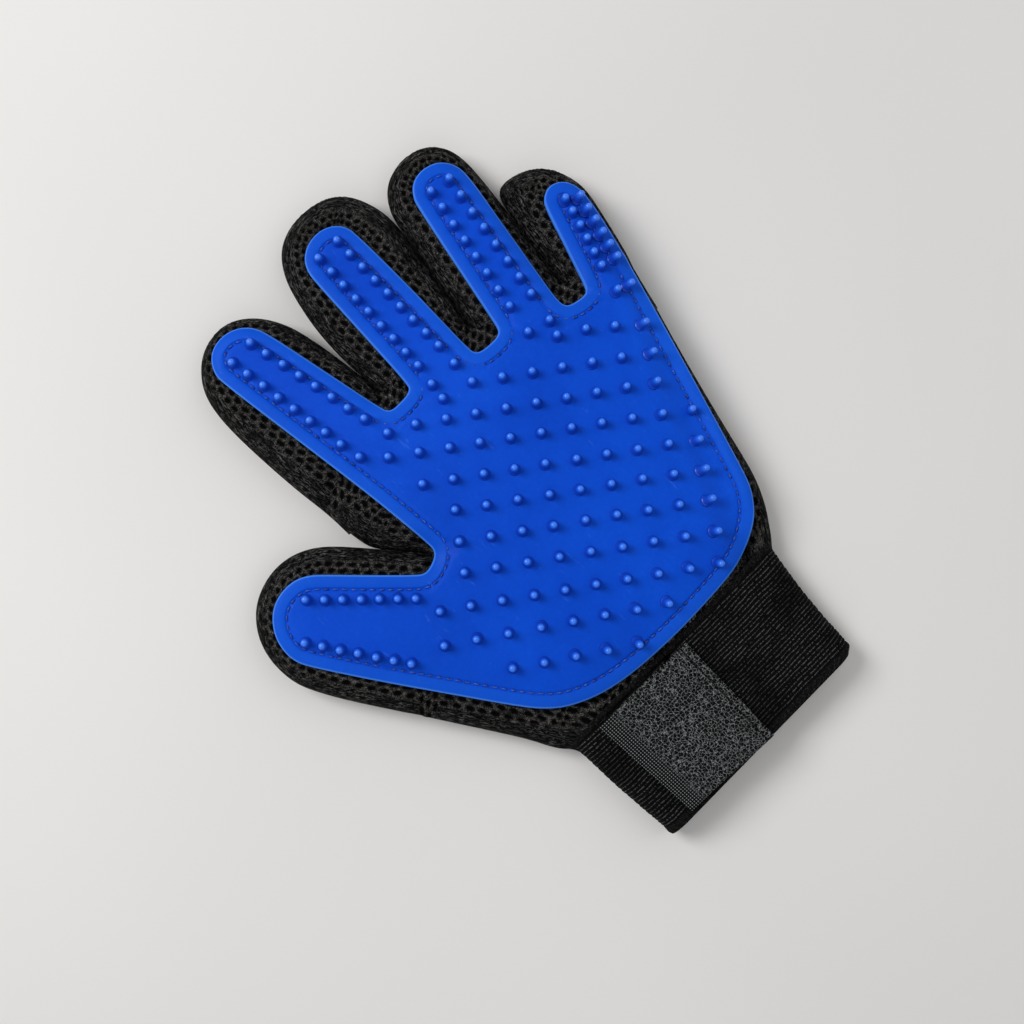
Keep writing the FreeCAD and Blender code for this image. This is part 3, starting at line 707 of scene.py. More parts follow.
def closed_solid(P, F, z_top, z_bot, own_wall=False):
    """top and bottom sheets over the same triangles, with a wall round the rim"""
    n = len(P)
    use = {}
    top = []
    for f in F:
        a, b, c = (P[i] for i in f[:3])
        if (b[0] - a[0]) * (c[1] - a[1]) - (b[1] - a[1]) * (c[0] - a[0]) < 0:
            f = f[::-1]
        top.append(f)
        for i in range(len(f)):
            e = (f[i], f[(i + 1) % len(f)])
            use[e] = use.get(e, 0) + 1
    bottom = [[i + n for i in f[::-1]] for f in top]
    rim = [(a, b) for (a, b) in use if (b, a) not in use]
    V = np.vstack([np.column_stack([P, z_top]), np.column_stack([P, z_bot])])
    if not own_wall:
        return V, top + bottom + [[b, a, a + n, b + n] for a, b in rim], len(top)
    used = sorted({i for e in rim for i in e})
    at = {v: 2 * n + k for k, v in enumerate(used)}
    m = len(used)
    V = np.vstack([V, np.column_stack([P[used], z_top[used]]), np.column_stack([P[used], z_bot[used]])])
    return V, top + bottom + [[at[b], at[a], at[a] + m, at[b] + m] for a, b in rim], used


def fill_points(loop, fine, coarse, dense_zone, margin, seed):
    """jittered triangular grid inside the loop: fine where dense_zone says so, coarse elsewhere"""
    lo, hi = loop.min(0), loop.max(0)
    out = []
    rng = np.random.default_rng(int(seed))
    for step, want in ((fine, True), (coarse, False)):
        xs = np.arange(lo[0], hi[0], step)
        ys = np.arange(lo[1], hi[1], step * 0.866)
        gx, gy = np.meshgrid(xs, ys)
        gx = gx + (np.arange(len(ys))[:, None] % 2) * step * 0.5
        Q = np.column_stack([gx.ravel(), gy.ravel()])
        Q = Q + rng.uniform(-0.12, 0.12, Q.shape) * step
        Q = Q[inside(Q, loop)]
        if len(Q) == 0:
            continue
        d, _ = nearest(Q, np.vstack([loop, loop[:1]]))
        Q = Q[d > margin * (1.0 if want else 3.0)]
        z = dense_zone(Q)
        out.append(Q[z == want])
    return np.vstack(out)


PAD_COARSE = [resample(PAD_LINES[0], 1.3)[0]]


def pad_sdf(P):
    """distance to the pad's rim, positive inside the pad"""
    d = seg_distance(P, PAD_COARSE)
    return np.where(inside(P, PAD_CURVE), d, -d)


def fabric_top(P, d_roll):
    T = pad_bottom(P)
    lo = ZC + 0.35
    return lo + (T - lo) * quarter(d_roll / 8.5)


FINE = 0.62


def fabric(name, loop, roll_lines, seed, drop):
    """puffed closed form of one glove body; drop(P) lowers it where it dives under its neighbour"""
    dense = lambda Q: pad_sdf(Q) < 1.2
    pts = fill_points(loop, FINE, 4.0, dense, 0.35, seed)
    P, F = triangulate(loop, pts)
    d_sil, s_sil = nearest_many(P, roll_lines)
    sd = pad_sdf(P)
    out = np.maximum(-sd, 0.0)
    ratio = d_sil / np.maximum(d_sil + out, 0.4)
    zt = fabric_top(P, d_sil)
    # seam between the gusset and the mesh panel
    width = d_sil + out
    seam = (ratio - 0.5) * np.minimum(width, 18.0)
    seam = np.where(end_fade(P, roll_lines) < 0.5, np.maximum(seam, 1.0), seam)
    ribs_zone = seam < 0
    ends = 1 - end_fade(P, roll_lines)
    # away from the outline's ends the cloth's own grain takes over
    cx = P[:, 0] * 0.7 + P[:, 1] * 0.7
    cy = -P[:, 0] * 0.7 + P[:, 1] * 0.7
    along = np.where(ends > 0.5, cx + 5000.0, s_sil)
    across = np.where(ends > 0.5, cy, d_sil)
    rr, rz = rib_relief(along, across)
    nr, nz = net_relief(along + 0.35 * across, across)
    live = sstep(-1.4, 0.0, -sd) * sstep(-80.5, -75.0, P[:, 1])
    edge_fade = sstep(0.0, 1.2, d_sil)
    mix = sstep(-0.25, 0.25, seam)
    relief = rr * (1 - mix) + nr * mix
    zt = zt + live * edge_fade * (rz * (1 - mix) + nz * mix)
    ridge = np.exp(-(seam / 0.55) ** 2) * sstep(0.8, 2.5, width)
    zt = zt + 0.55 * ridge * live
    roll = np.sin(np.pi * np.clip(ratio / 0.5, 0, 1)) * sstep(3.0, 9.0, width)
    zt = zt + 0.9 * roll * live
    zt = zt + 0.5 * fbm(P[:, 0] / 11, P[:, 1] / 11, seed) * live
    relief = np.clip(relief * (1 - 0.5 * ridge) + 0.35 * ridge, 0, 1)
    zt = zt - drop(P) - 3.2 * (1 - sstep(-79.5, -75.0, P[:, 1]))
    zb = ZC - 0.25 - (ZC - 0.6) * quarter(d_sil / 8.5)
    jr, jz = jersey_relief(P[:, 0], P[:, 1])
    zb = np.maximum(zb - 0.4 * np.abs(rz) * (1 - sstep(5.0, 7.0, d_sil)), 0.05)
    zb = np.minimum(zb, zt - 0.3)
    V, faces, ntop = closed_solid(P, F, zt, zb)
    n = len(P)
    rel = np.concatenate([relief, np.where(d_sil < 6.0, rr, jr)])
    uv = np.vstack([np.column_stack([along, across]), np.column_stack([s_sil, d_sil])])
    ob = make_object(name, V, faces, None, uv, {"relief": rel})
    me = ob.data
    for m in (M_MESH, M_KNIT, M_JERSEY):
        me.materials.append(m)
    cen_seam = np.array([seam[[i % n for i in f]].mean() for f in faces])
    cen_d = np.array([d_sil[[i % n for i in f]].mean() for f in faces])
    idx = np.where(cen_seam > 0, 0, 1)
    below = np.arange(len(faces)) >= ntop
    idx[below] = np.where(cen_d[below] < 6.0, 1, 2)
    me.polygons.foreach_set("material_index", idx.astype(np.int32))
    return ob


BODY_LOOP = {}
for name, f in FINGER.items():
    c = f["curve"]
    BODY_LOOP[name] = np.vstack([c, resample(np.vstack([c[-1:], c[:1]]), 1.5)[0][1:-1]])
    area2 = np.sum(BODY_LOOP[name][:, 0] * np.roll(BODY_LOOP[name][:, 1], -1) - np.roll(BODY_LOOP[name][:, 0], -1) * BODY_LOOP[name][:, 1])
    if area2 < 0:
        BODY_LOOP[name] = BODY_LOOP[name][::-1]


def finger_drop(name):
    o, d, p = joint_axes(name)

    def drop(P):
        u = (P - o) @ d
        return -0.25 + 2.6 * (1 - sstep(-1.0, 7.0, u))
    return drop


def palm_drop(P):
    out = np.full(len(P), 0.45)
    for name, f in FINGER.items():
        o, d, p = joint_axes(name)
        u = (P - o) @ d
        m = inside(P, BODY_LOOP[name])
        out = np.where(m & (u > 6.0), np.maximum(out, 1.1), out)
        out = np.where(~m, np.minimum(out, 0.45), out)
    return out


def blend_finger(ob, name):
    o, d, p = joint_axes(name)
    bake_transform(ob)


for k, (name, f) in enumerate(FINGER.items()):
    o, d, p = joint_axes(name)
    c = f["curve"]
    u = (c - o) @ d
    lines = [c[u > 3.0]] if name != "thumb" else [c[u > -2.0]]
    extra = [r for r in ROLL]
    outer = {"index_finger": c[:, 0] < -44, "little_finger": c[:, 0] > 84}.get(name, np.zeros(len(c), bool))
    ob = fabric(f["tag"] + "_fabric", BODY_LOOP[name], [c[(u > (4.0 if name != "thumb" else 0.0)) | outer]] + ([PALM_CURVE[(PALM_CURVE[:, 0] < -44) & (PALM_CURVE[:, 1] < -36)]] if name == "thumb" else [])
                + ([PALM_CURVE[(PALM_CURVE[:, 0] > 40) & (PALM_CURVE[:, 1] < 26)]] if name == "little_finger" else []),
                20.0 + k, finger_drop(name))
    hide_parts(f["tag"] + "_palm_side_mesh", f["tag"] + "_back_panel", f["tag"] + "_side_gusset")
    blend_finger(ob, name)

palm_ob = fabric("palm_fabric", PALM_CURVE, ROLL, 31.0, palm_drop)
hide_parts("palm_mesh_panel", "back_of_hand_panel", "outer_palm_gusset", "inner_palm_gusset", "thumb_web_gusset", "finger_crotch_gussets")
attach(palm_ob, "palm")

# ------------------------------------------------------------------ the rubber pad: one moulding, cut where it must bend
def pad_top(P, sd):
    d = np.maximum(sd, 0)
    z = pad_bottom(P) + PAD_T
    z = z - 1.15 * (1 - quarter(d / 1.15))
    z = z - 0.50 * (sstep(4.25, 4.6, d) - sstep(5.45, 5.8, d))
    z = z + 0.14 * fbm(P[:, 0] / 7, P[:, 1] / 7, 44.0)
    return z


def offset_ring(curve, dist):
    q = curve + inward_normals(curve) * dist
    for _ in range(2):
        q = 0.5 * q + 0.25 * (np.roll(q, 1, 0) + np.roll(q, -1, 0))
    return q


area2 = np.sum(PAD_CURVE[:, 0] * np.roll(PAD_CURVE[:, 1], -1) - np.roll(PAD_CURVE[:, 0], -1) * PAD_CURVE[:, 1])
if area2 < 0:
    PAD_CURVE = PAD_CURVE[::-1].copy()
ring_pts = []
for dd in (0.12, 0.35, 0.7, 1.15, 2.6, 4.0, 4.3, 4.65, 5.0, 5.4, 5.75, 6.1, 7.4):
    q = offset_ring(PAD_CURVE, dd)
    q, _ = resample(q, 0.9 if dd > 0.5 else 0.6, True)
    q = q[inside(q, PAD_CURVE)]
    dq, _ = nearest(q, PAD_LINES[0])
    ring_pts.append(q[np.abs(dq - dd) < 0.12])
ring_pts = np.vstack(ring_pts)
deep = fill_points(PAD_CURVE, 1.7, 1.7, lambda Q: np.ones(len(Q), bool), 0.5, 9)
dq, _ = nearest(deep, PAD_LINES[0])
deep = deep[(dq > 8.2) | ((dq > 1.7) & (dq < 3.5))]
# exact rows of points along each bend line, so that the lobes meet edge to edge
bend_rows = []
FINGER_PAD_ZONE = {}
for name in FINGER:
    o, d, p = joint_axes(name)
    t = np.arange(-40, 40, 0.9)
    row = o + t[:, None] * p
    row = row[inside(row, PAD_CURVE)]
    root = o + d * 20
    # keep the run of the row that belongs to this finger's lobe
    tt = (row - o) @ p
    reachable = []
    for q, tv in zip(row, tt):
        seg = np.array([root + (q - root) * w for w in np.linspace(0, 1, 25)])
        if inside(seg, PAD_CURVE).all():
            reachable.append(tv)
    lo, hi = (min(reachable), max(reachable)) if reachable else (0, 0)
    FINGER_PAD_ZONE[name] = (lo - 3.0, hi + 3.0)
    bend_rows.append(row[(tt >= lo) & (tt <= hi)])
EDGE_ROWS = np.vstack(bend_rows)
allp = np.vstack([ring_pts, deep])
keep = np.ones(len(allp), bool)
for name in FINGER:
    o, d, p = joint_axes(name)
    u = (allp - o) @ d
    v = (allp - o) @ p
    lo, hi = FINGER_PAD_ZONE[name]
    keep &= ~((np.abs(u) < 0.35) & (v > lo) & (v < hi))
allp = np.vstack([allp[keep], EDGE_ROWS])
PP, PF = triangulate(PAD_CURVE, allp)
psd, ps = nearest(PP, PAD_LINES[0])
ztop = pad_top(PP, psd)
zbot = pad_bottom(PP) - 0.35


def lobe_of(P):
    """which finger a point of the pad belongs to, or -1 for the palm"""
    out = np.full(len(P), -1)
    for k, name in enumerate(FINGER):
        o, d, p = joint_axes(name)
        u, v = (P - o) @ d, (P - o) @ p
        lo, hi = FINGER_PAD_ZONE[name]
        tipu = (np.array(FINGER[name]["tip"]) - o) @ d
        tipv = (np.array(FINGER[name]["tip"]) - o) @ p
        mid = tipv * np.clip(u / tipu, 0, 1)
        half = 24.0 if name != "thumb" else 30.0
        m = (u > 0) & (u < tipu + 30)
        m &= np.where(u < 6, (v > lo) & (v < hi), np.abs(v - mid) < half)
        m &= inside(P, BODY_LOOP[name])
        out[m & (out < 0)] = k
    return out


cent = np.array([PP[f].mean(0) for f in PF])
lob = lobe_of(cent)
pad_uv = np.column_stack([ps, psd])
for k, name in enumerate(list(FINGER) + ["palm"]):
    sel = lob == (k if name != "palm" else -1)
    used = sorted({i for f, m in zip(PF, sel) if m for i in f})
    if not used:
        continue
    remap = {a: b for b, a in enumerate(used)}
    Fk = [[remap[i] for i in f] for f, m in zip(PF, sel) if m]
    V, faces, rim_ids = closed_solid(PP[used], Fk, ztop[used], zbot[used], True)
    tag = FINGER[name]["tag"] if name != "palm" else "palm"
    uv0 = pad_uv[used]
    uvk = np.vstack([uv0, uv0, uv0[rim_ids], uv0[rim_ids]])
    ob = make_object(tag + "_rubber_pad", V, faces, M_RUBBER, uvk, {"tip": np.zeros(len(V))})
    # crisp wall at the cut, smooth rubber elsewhere
    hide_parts(tag + "_curry_pad")
    if name == "palm":
        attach(ob, "palm")
    else:
        blend_finger(ob, name)

# ------------------------------------------------------------------ nubs
NUB_ROWS = [
    ("thumb", (-73.7, 22.6), (-46.9, -3.6), 7), ("thumb", (-84.1, 12.4), (-63.4, -18.2), 7),
    ("index_finger", (-34.6, 98.9), (-27.9, 52.2), 8), ("index_finger", (-25.4, 99.4), (-16.2, 52.8), 8),
    ("middle_finger", (12.0, 103.8), (10.0, 52.9), 9), ("middle_finger", (20.9, 103.8), (19.8, 52.9), 9),
    ("ring_finger", (56.2, 93.3), (46.9, 45.4), 8), ("ring_finger", (63.7, 92.0), (55.2, 43.2), 8),
    ("little_finger", (87.4, 58.6), (79.6, 32.9), 6), ("little_finger", (91.8, 55.6), (85.3, 31.6), 6),
    ("palm", (-26.6, 44.6), (-14.0, 43.8), 2), ("palm", (8.6, 45.0), (19.3, 44.7), 2),
    ("palm", (44.9, 34.4), (53.0, 32.2), 2), ("palm", (7.9, 38.9), (7.9, 38.9), 1),
    ("palm", (51.2, 26.6), (51.2, 26.6), 1), ("palm", (77.2, 23.0), (82.0, 21.6), 2),
    ("palm", (59.7, 21.1), (75.8, 8.5), 3), ("palm", (18.9, 35.8), (70.1, -0.6), 7),
    ("palm", (-5.0, 39.1), (63.8, -9.1), 9), ("palm", (-19.5, 37.5), (65.9, -24.4), 11),
    ("palm", (-17.8, 22.7), (59.9, -33.2), 10), ("palm", (-16.2, 8.4), (54.0, -41.8), 9),
    ("palm", (-22.9, -0.3), (48.0, -50.5), 9), ("palm", (-29.1, -9.0), (41.6, -59.6), 9),
    ("palm", (-44.2, -12.3), (34.8, -68.2), 10), ("palm", (-51.2, -21.6), (12.6, -65.2), 8),
    ("palm", (-40.3, -43.3), (-4.2, -67.9), 5)]
PROFILE = [(2.35, -0.05), (1.98, 0.18), (1.82, 0.6), (1.70, 1.4), (1.50, 2.5), (1.28, 3.6), (1.15, 4.35), (0.92, 4.78), (0.54, 5.02), (0.0, 5.10)]
SEG = 20
rng = np.random.default_rng(4)
nub_parts = {}
for owner, a, b, count in NUB_ROWS:
    for i in range(count):
        k = i / (count - 1) if count > 1 else 0.0
        x, y = a[0] + k * (b[0] - a[0]), a[1] + k * (b[1] - a[1])
        nub_parts.setdefault(owner, []).append((x + rng.uniform(-.12, .12), y + rng.uniform(-.12, .12)))
for owner, places in nub_parts.items():
    C = np.array(places)
    e = 3.0
    gx = (pad_bottom(C + [e, 0]) - pad_bottom(C - [e, 0])) / (2 * e)
    gy = (pad_bottom(C + [0, e]) - pad_bottom(C - [0, e])) / (2 * e)
    nrm = np.column_stack([-1.5 * gx, -1.5 * gy, np.ones(len(C))])
    nrm[:, :2] += rng.normal(0, 0.012, (len(C), 2))
    nrm /= np.linalg.norm(nrm, axis=1)[:, None]
    base = C - nrm[:, :2] * 2.5
    zb = pad_top(base, np.full(len(base), 3.0)) - 0.05
    V, Fc, T = [], [], []
    for c, z, n in zip(base, zb, nrm):
        t1 = np.cross(n, [0, 1, 0.01])
        t1 /= np.linalg.norm(t1)
        t2 = np.cross(n, t1)
        s0 = len(V)
        squeeze = rng.uniform(0.98, 1.02)
        for r, h in PROFILE[:-1]:
            for j in range(SEG):
                w = 2 * math.pi * j / SEG
                q = np.array([c[0], c[1], z]) + n * h * squeeze + (t1 * math.cos(w) + t2 * math.sin(w)) * r
                V.append(q)
                # tip mask: 0 below 2.2 mm up the nub, 1 from 5 mm; the nub material uses it to paint the tip light
                # blue, a painted highlight
                T.append(sstep(2.2, 5.0, h))
        V.append(np.array([c[0], c[1], z]) + n * PROFILE[-1][1] * squeeze)
        T.append(1.0)
        V.append(np.array([c[0], c[1], z]) - n * 0.3)
        T.append(0.0)
        m = len(PROFILE) - 1
        for a_ in range(m - 1):
            for j in range(SEG):
                j2 = (j + 1) % SEG
                Fc.append([s0 + a_ * SEG + j, s0 + a_ * SEG + j2, s0 + (a_ + 1) * SEG + j2, s0 + (a_ + 1) * SEG + j][::-1])
        for j in range(SEG):
            j2 = (j + 1) % SEG
            Fc.append([s0 + (m - 1) * SEG + j, s0 + (m - 1) * SEG + j2, s0 + m * SEG][::-1])
            Fc.append([s0 + j, s0 + j2, s0 + m * SEG + 1])
    tag = FINGER[owner]["tag"] if owner != "palm" else "palm"
    ob = make_object(tag + "_rubber_nubs", np.array(V), Fc, M_NUB, np.zeros((len(V), 2)), {"tip": np.array([float(t) for t in T])})
    if owner == "palm":
        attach(ob, "palm")
    else:
        blend_finger(ob, owner)

# ------------------------------------------------------------------ stitching let into the pad
line5 = offset_ring(PAD_CURVE, 5.02)
line5, arc5 = resample(line5, 0.1, True)
ok5 = np.abs(nearest(line5, PAD_LINES[0])[0] - 5.02) < 0.35
PITCH, DASH = 3.15, 2.75
groups = {}
n5 = len(line5)
count = int(n5 * 0.1 / PITCH)
stepn = n5 / count
L5 = lobe_of(line5)
for i in range(count):
    k0 = int(i * stepn)
    ids = (np.arange(k0, k0 + int(DASH / 0.1)) % n5)
    if not ok5[ids].all():
        continue
    lb = set(L5[ids].tolist())
    if len(lb) > 1:
        continue
    groups.setdefault(lb.pop(), []).append(line5[ids[np.linspace(0, len(ids) - 1, 7).astype(int)]])
for key_, runs in groups.items():
    V, Fc = [], []
    for run in runs:
        tan = np.gradient(run, axis=0)
        tan /= np.maximum(np.linalg.norm(tan, axis=1)[:, None], 1e-6)
        sd_ = np.full(len(run), 5.02)
        z0 = pad_bottom(run) + PAD_T - 0.50
        s0 = len(V)
        prof = [0.30, 0.62, 0.76, 0.80, 0.76, 0.62, 0.30]
        arch = [-0.20, 0.06, 0.20, 0.24, 0.20, 0.06, -0.20]
        for q, t, z, w, hgt in zip(run, tan, z0, prof, arch):
            sid = np.array([-t[1], t[0]])
            for j in range(8):
                an = 2 * math.pi * j / 8
                V.append([q[0] + sid[0] * math.cos(an) * w * 0.50, q[1] + sid[1] * math.cos(an) * w * 0.50, z + hgt + math.sin(an) * w * 0.5])
        for a_ in range(6):
            for j in range(8):
                j2 = (j + 1) % 8
                Fc.append([s0 + a_ * 8 + j, s0 + a_ * 8 + j2, s0 + (a_ + 1) * 8 + j2, s0 + (a_ + 1) * 8 + j])
        Fc.append([s0 + j for j in range(8)][::-1])
        Fc.append([s0 + 48 + j for j in range(8)])
    name = list(FINGER)[key_] if key_ >= 0 else "palm"
    tag = FINGER[name]["tag"] if name != "palm" else "palm"
    V = np.array(V)
    ob = make_object(tag + "_pad_stitches", V, Fc, M_THREAD_N, V[:, :2])
    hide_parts(tag + "_pad_stitching")
    if name == "palm":
        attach(ob, "palm")
    else:
        blend_finger(ob, name)

# ------------------------------------------------------------------ the elastic cuff
CUFF_H = 13.6


def cuff_sleeve(name, y0, y1, material, relief_fn, wall=1.9, slit=(-2.0, 1.0), grow=0.0, step=0.45, bulge=0.0):
    rows = max(3, int(abs(y1 - y0) / step) + 1)
    ys = np.linspace(y0, y1, rows)
    cols = 260
    outer, inner, UVs, REL = [], [], [], []
    for y in ys:
        k = (-76.6 - y) / 45.8
        wav = 0.35 * vnoise(y / 6.0, 0.3, 2.0)
        xa = -44.6 + 3.0 * k + 0.9 * math.sin(math.pi * k) * -0.3 + wav - grow
        xb = 53.0 - 5.2 * k - 0.8 * math.sin(math.pi * k) + wav + grow
        xb -= 2.2 * float(sstep(0.93, 1.0, k)) ** 2
        H = CUFF_H + 2 * grow * 0.5
        r = H / 2
        zc = r + 0.05
        # arc-length walk round the racetrack, from the slit's right lip round the back to its left lip
        top_r = (xb - r) - slit[1]
        bottom = (xb - r) - (xa + r)
        top_l = slit[0] - (xa + r)
        total = top_r + math.pi * r + bottom + math.pi * r + top_l
        s = np.linspace(0, total, cols)
        X, Z, NX, NZ = [], [], [], []
        for sv in s:
            if sv <= top_r:
                X.append(slit[1] + sv); Z.append(zc + r); NX.append(0); NZ.append(1)
            elif sv <= top_r + math.pi * r:
                a_ = (sv - top_r) / r
                X.append(xb - r + r * math.sin(a_)); Z.append(zc + r * math.cos(a_)); NX.append(math.sin(a_)); NZ.append(math.cos(a_))
            elif sv <= top_r + math.pi * r + bottom:
                X.append(xb - r - (sv - top_r - math.pi * r)); Z.append(zc - r); NX.append(0); NZ.append(-1)
            elif sv <= total - top_l:
                a_ = (sv - top_r - math.pi * r - bottom) / r
                X.append(xa + r - r * math.sin(a_)); Z.append(zc - r * math.cos(a_)); NX.append(-math.sin(a_)); NZ.append(-math.cos(a_))
            else:
                X.append(xa + r + (sv - (total - top_l))); Z.append(zc + r); NX.append(0); NZ.append(1)
        X, Z, NX, NZ = map(np.array, (X, Z, NX, NZ))
        rel, hgt = relief_fn(s, np.full(len(s), y))
        soft = np.where(NZ > 0, 0.5 * fbm(X / 16, np.full(len(X), y / 16), 71.0), 0.0)
        lift = hgt + bulge * math.sin(math.pi * (y - y0) / (y1 - y0)) + soft
        lift = np.where(NZ < -0.2, np.minimum(lift, 0) * 0.2, lift)
        outer.append(np.column_stack([X + NX * lift, np.full(len(X), y), Z + NZ * lift]))
        inner.append(np.column_stack([X - NX * wall, np.full(len(X), y), Z - NZ * wall]))
        UVs.append(np.column_stack([s, np.full(len(s), y)]))
        REL.append(rel)
    O, I = np.array(outer), np.array(inner)
    V = np.vstack([O.reshape(-1, 3), I.reshape(-1, 3)])
    nO = rows * cols
    F = []
    for a_ in range(rows - 1):
        for j in range(cols - 1):
            p00, p01, p10, p11 = a_ * cols + j, a_ * cols + j + 1, (a_ + 1) * cols + j, (a_ + 1) * cols + j + 1
            F.append([p00, p01, p11, p10])
            F.append([nO + p00, nO + p10, nO + p11, nO + p01])
    for j in range(cols - 1):
        F.append([j + 1, j, nO + j, nO + j + 1])
        b0 = (rows - 1) * cols
        F.append([b0 + j, b0 + j + 1, nO + b0 + j + 1, nO + b0 + j])
    for a_ in range(rows - 1):
        F.append([a_ * cols, (a_ + 1) * cols, nO + (a_ + 1) * cols, nO + a_ * cols])
        e_ = cols - 1
        F.append([(a_ + 1) * cols + e_, a_ * cols + e_, nO + a_ * cols + e_, nO + (a_ + 1) * cols + e_])
    if y1 < y0:
        F = [f[::-1] for f in F]
    uv = np.vstack([np.vstack(UVs)] * 2)
    rel = np.concatenate([np.concatenate(REL), np.full(nO, 0.2)])
    ob = make_object(name, V, F, material, uv, {"relief": rel})
    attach(ob, "palm")
    return ob


def elastic_relief(s, y):
    yy = y + 0.30 * vnoise(s / 12.0, y / 9.0, 51.0) + 0.10 * vnoise(s / 3.0, y / 3.0, 52.0)
    ph = (yy / 2.72) % 1.0
    groove = np.exp(-((ph - 0.5) / 0.10) ** 2)
    mid = np.exp(-((ph - 0.0) / 0.05) ** 2) + np.exp(-((ph - 1.0) / 0.05) ** 2)
    cross = 0.5 + 0.5 * np.cos(2 * np.pi * (s / 0.95 + 0.35 * np.floor(yy / 1.36)))
    h = 0.10 - 0.30 * groove - 0.12 * mid + 0.06 * (cross - 0.5)
    rel = np.clip(0.42 + 0.25 * cross - 0.5 * groove - 0.2 * mid + 0.25 * vnoise(s / 0.8, y / 0.5, 53.0), 0, 1)
    return rel, h


def binding_relief(s, y):
    a_ = 0.5 + 0.5 * np.cos(2 * np.pi * s / 1.05)
    return 0.3 + 0.4 * a_, 0.10 * (a_ - 0.5)


cuff = cuff_sleeve("elastic_cuff", -77.3, -119.7, M_ELASTIC, elastic_relief)
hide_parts("cuff_elastic_band")
hem = cuff_sleeve("cuff_hem", -119.3, -122.3, M_BINDING, binding_relief, grow=0.10, bulge=0.25, wall=2.1)
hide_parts("cuff_hem_binding")
top_seam = cuff_sleeve("cuff_top_seam", -75.2, -77.6, M_BINDING, binding_relief, grow=0.15, bulge=0.35, wall=2.2, slit=(-0.6, -0.4))
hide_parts("cuff_seam")

# ------------------------------------------------------------------ wrist tab
stepx = 0.5
xs = np.arange(-33.6, 7.61, stepx)
ys = np.arange(-121.0, -78.7, stepx)
GX, GY = np.meshgrid(xs, ys)
kx = (GX - (-33.6)) / 41.2
ky = (GY - (-121.0)) / 42.2
# outline measured at its four corners, slightly skewed
tl, bl, br, tr = np.array([-33.7, -77.9]), np.array([-31.4, -119.9]), np.array([6.6, -122.3]), np.array([7.8, -79.0])
XY = ((1 - kx)[..., None] * ((1 - ky)[..., None] * bl + ky[..., None] * tl) + kx[..., None] * ((1 - ky)[..., None] * br + ky[..., None] * tr))
TX, TY = XY[..., 0], XY[..., 1]
TX = TX + 0.25 * vnoise(TY / 7.0, TX * 0, 81.0) * (1 - kx)
zt = 17.0 + 1.5 * (1 - sstep(0.0, 0.42, kx)) ** 1.5 * (0.75 + 0.25 * np.cos(ky * 3.0)) - 0.5 * sstep(0.88, 1.0, kx) + 0.35 * fbm(TX / 12, TY / 12, 82.0)
edge = np.minimum.reduce([GX + 33.6, 7.6 - GX, GY + 121.0, -78.8 - GY])
zt = zt - 0.45 * (1 - quarter(np.clip(edge, 0, 9) / 0.9))
selv = 1 - sstep(3.2, 4.2, GX + 33.6)
dots = (0.5 + 0.5 * np.cos(2 * np.pi * (GX + 33.6) / 1.05)) * (0.5 + 0.5 * np.cos(2 * np.pi * GY / 1.05))
plain = np.exp(-((7.6 - GX - 3.0) / 0.45) ** 2)
laby = sstep(-0.02, 0.10, np.abs(vnoise(GX / 1.35, GY / 1.1, 91.0)) + 0.55 * np.abs(vnoise(GX / 0.7, GY / 0.6, 92.0)) - 0.10)
wove = 0.5 + 0.5 * np.cos(2 * np.pi * GX / 0.9) * np.cos(2 * np.pi * GY / 0.9)
rel = (0.25 + 0.75 * (1 - laby)) * (1 - selv) + selv * (0.15 + 0.75 * dots)
rel = np.clip(rel * (1 - 0.8 * plain), 0, 1)
zt = zt + (0.12 * (1 - laby) * (1 - selv) + 0.30 * dots * selv - 0.35 * plain)
zbm = zt * 0 + 15.15 + 1.5 * (1 - sstep(0.0, 0.42, kx)) ** 1.5 * (0.75 + 0.25 * np.cos(ky * 3.0)) - 0.1
zbm = np.where(kx > 0.86, 14.2, zbm)
R_, C_ = GX.shape
Vt = np.column_stack([TX.ravel(), TY.ravel(), zt.ravel()])
Vb = np.column_stack([TX.ravel(), TY.ravel(), np.minimum(zbm, zt - 0.5).ravel()])
F = []
nT = R_ * C_
for a_ in range(R_ - 1):
    for j in range(C_ - 1):
        q = [a_ * C_ + j, a_ * C_ + j + 1, (a_ + 1) * C_ + j + 1, (a_ + 1) * C_ + j]
        F.append(q)
        F.append([i + nT for i in q[::-1]])
for j in range(C_ - 1):
    F.append([j + 1, j, j + nT, j + 1 + nT])
    b0 = (R_ - 1) * C_
    F.append([b0 + j, b0 + j + 1, b0 + j + 1 + nT, b0 + j + nT])
for a_ in range(R_ - 1):
    F.append([a_ * C_, (a_ + 1) * C_, (a_ + 1) * C_ + nT, a_ * C_ + nT])
    e_ = C_ - 1
    F.append([(a_ + 1) * C_ + e_, a_ * C_ + e_, a_ * C_ + e_ + nT, (a_ + 1) * C_ + e_ + nT])
uvt = np.vstack([np.column_stack([GX.ravel(), GY.ravel()])] * 2)
tab = make_object("wrist_strap_tab", np.vstack([Vt, Vb]), F, M_HOOK, uvt, {"relief": np.concatenate([rel.ravel(), rel.ravel() * 0.5])})
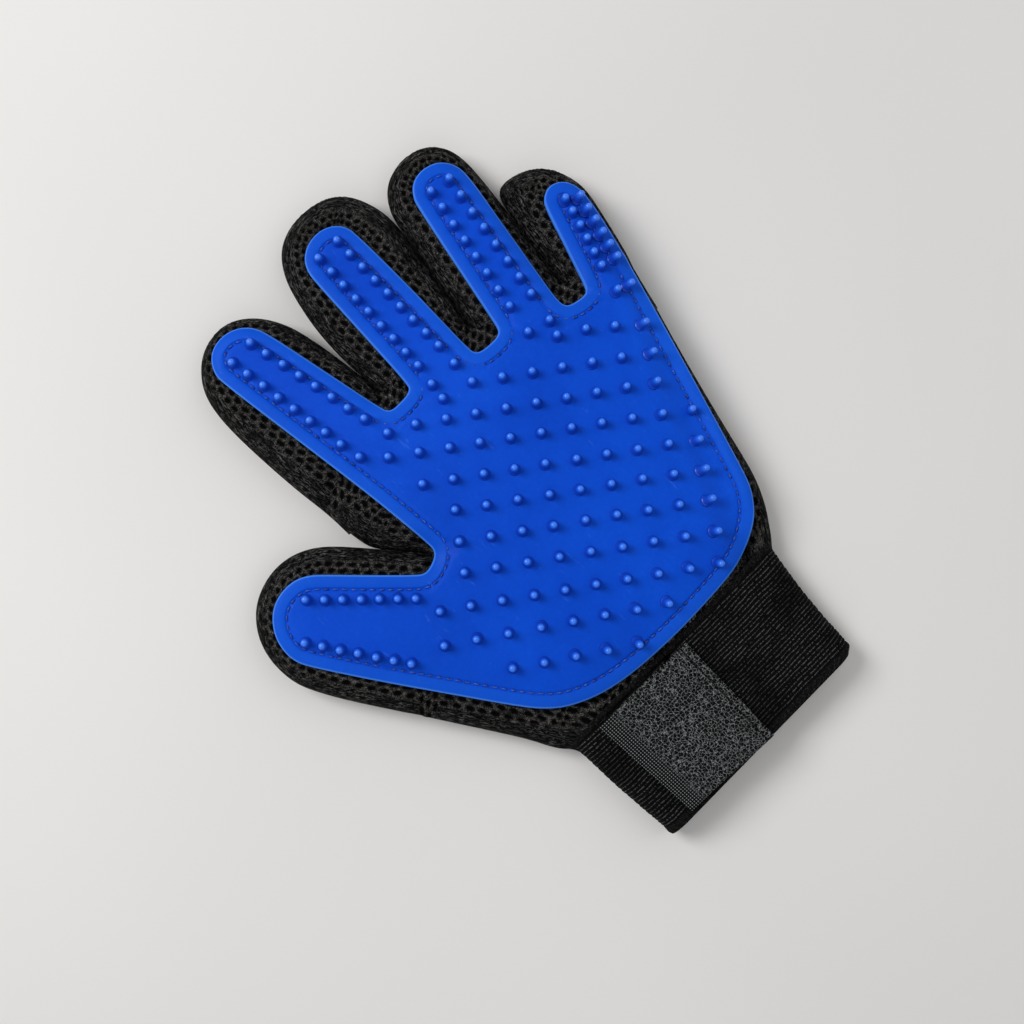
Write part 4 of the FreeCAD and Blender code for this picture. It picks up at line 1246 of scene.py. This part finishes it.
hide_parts("wrist_tab", "tab_sewn_end", "tab_edge_stitching", "tab_box_stitching")
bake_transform(tab)

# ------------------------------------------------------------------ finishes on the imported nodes
SLOT_MATERIAL = {"blue_rubber": M_RUBBER, "navy_thread": M_THREAD_N, "black_thread": M_THREAD_K, "black_mesh": M_MESH,
                 "black_jersey": M_JERSEY, "ribbed_knit": M_KNIT, "black_elastic": M_ELASTIC, "black_binding": M_BINDING,
                 "grey_hook_tape": M_HOOK, "black_loop_tape": M_LOOP}
for ob in list(scene.objects):
    if ob.type == "MESH":
        for sl in ob.material_slots:
            key = (sl.material.name.split(".")[0] if sl.material else "")
            if key in SLOT_MATERIAL:
                sl.material = SLOT_MATERIAL[key]

floor_mesh = bpy.data.meshes.new("floor")
floor_mesh.from_pydata([(-3, -3, 0), (3, -3, 0), (3, 3, 0), (-3, 3, 0)], [], [(0, 1, 2, 3)])
floor = bpy.data.objects.new("floor", floor_mesh)
scene.collection.objects.link(floor)
fm, fnt, fb = new_material("pale_floor")
fcol = ramp(fnt, noise(fnt, coords(fnt), 3.0, 2.0), [(0.3, (0.74, 0.725, 0.705)), (0.7, (0.79, 0.775, 0.755))])
fnt.links.new(fcol, fb.inputs["Base Color"])
fb.inputs["Roughness"].default_value = 0.9
floor_mesh.materials.append(fm)


def area(name, loc, size, power):
    ld = bpy.data.lights.new(name, "AREA")
    ld.energy = power
    ld.size = size
    lo = bpy.data.objects.new(name, ld)
    scene.collection.objects.link(lo)
    lo.location = loc
    lo.rotation_euler = (Vector(loc) * -1).to_track_quat("-Z", "Y").to_euler()
    return lo


scene.view_settings.view_transform = "Standard"
key = area("key", tuple(Vector((-0.30, 0.62, 0.80))), 0.50, 7.2)
fill = area("fill", (0.75, -0.10, 0.75), 1.3, 3.3)
low = area("low", (-0.55, -0.65, 0.85), 1.3, 2.6)
world = bpy.data.worlds.new("world")
scene.world = world
world.use_nodes = True
world.node_tree.nodes["Background"].inputs["Color"].default_value = (0.96, 0.97, 1.0, 1)
world.node_tree.nodes["Background"].inputs["Strength"].default_value = 0.26
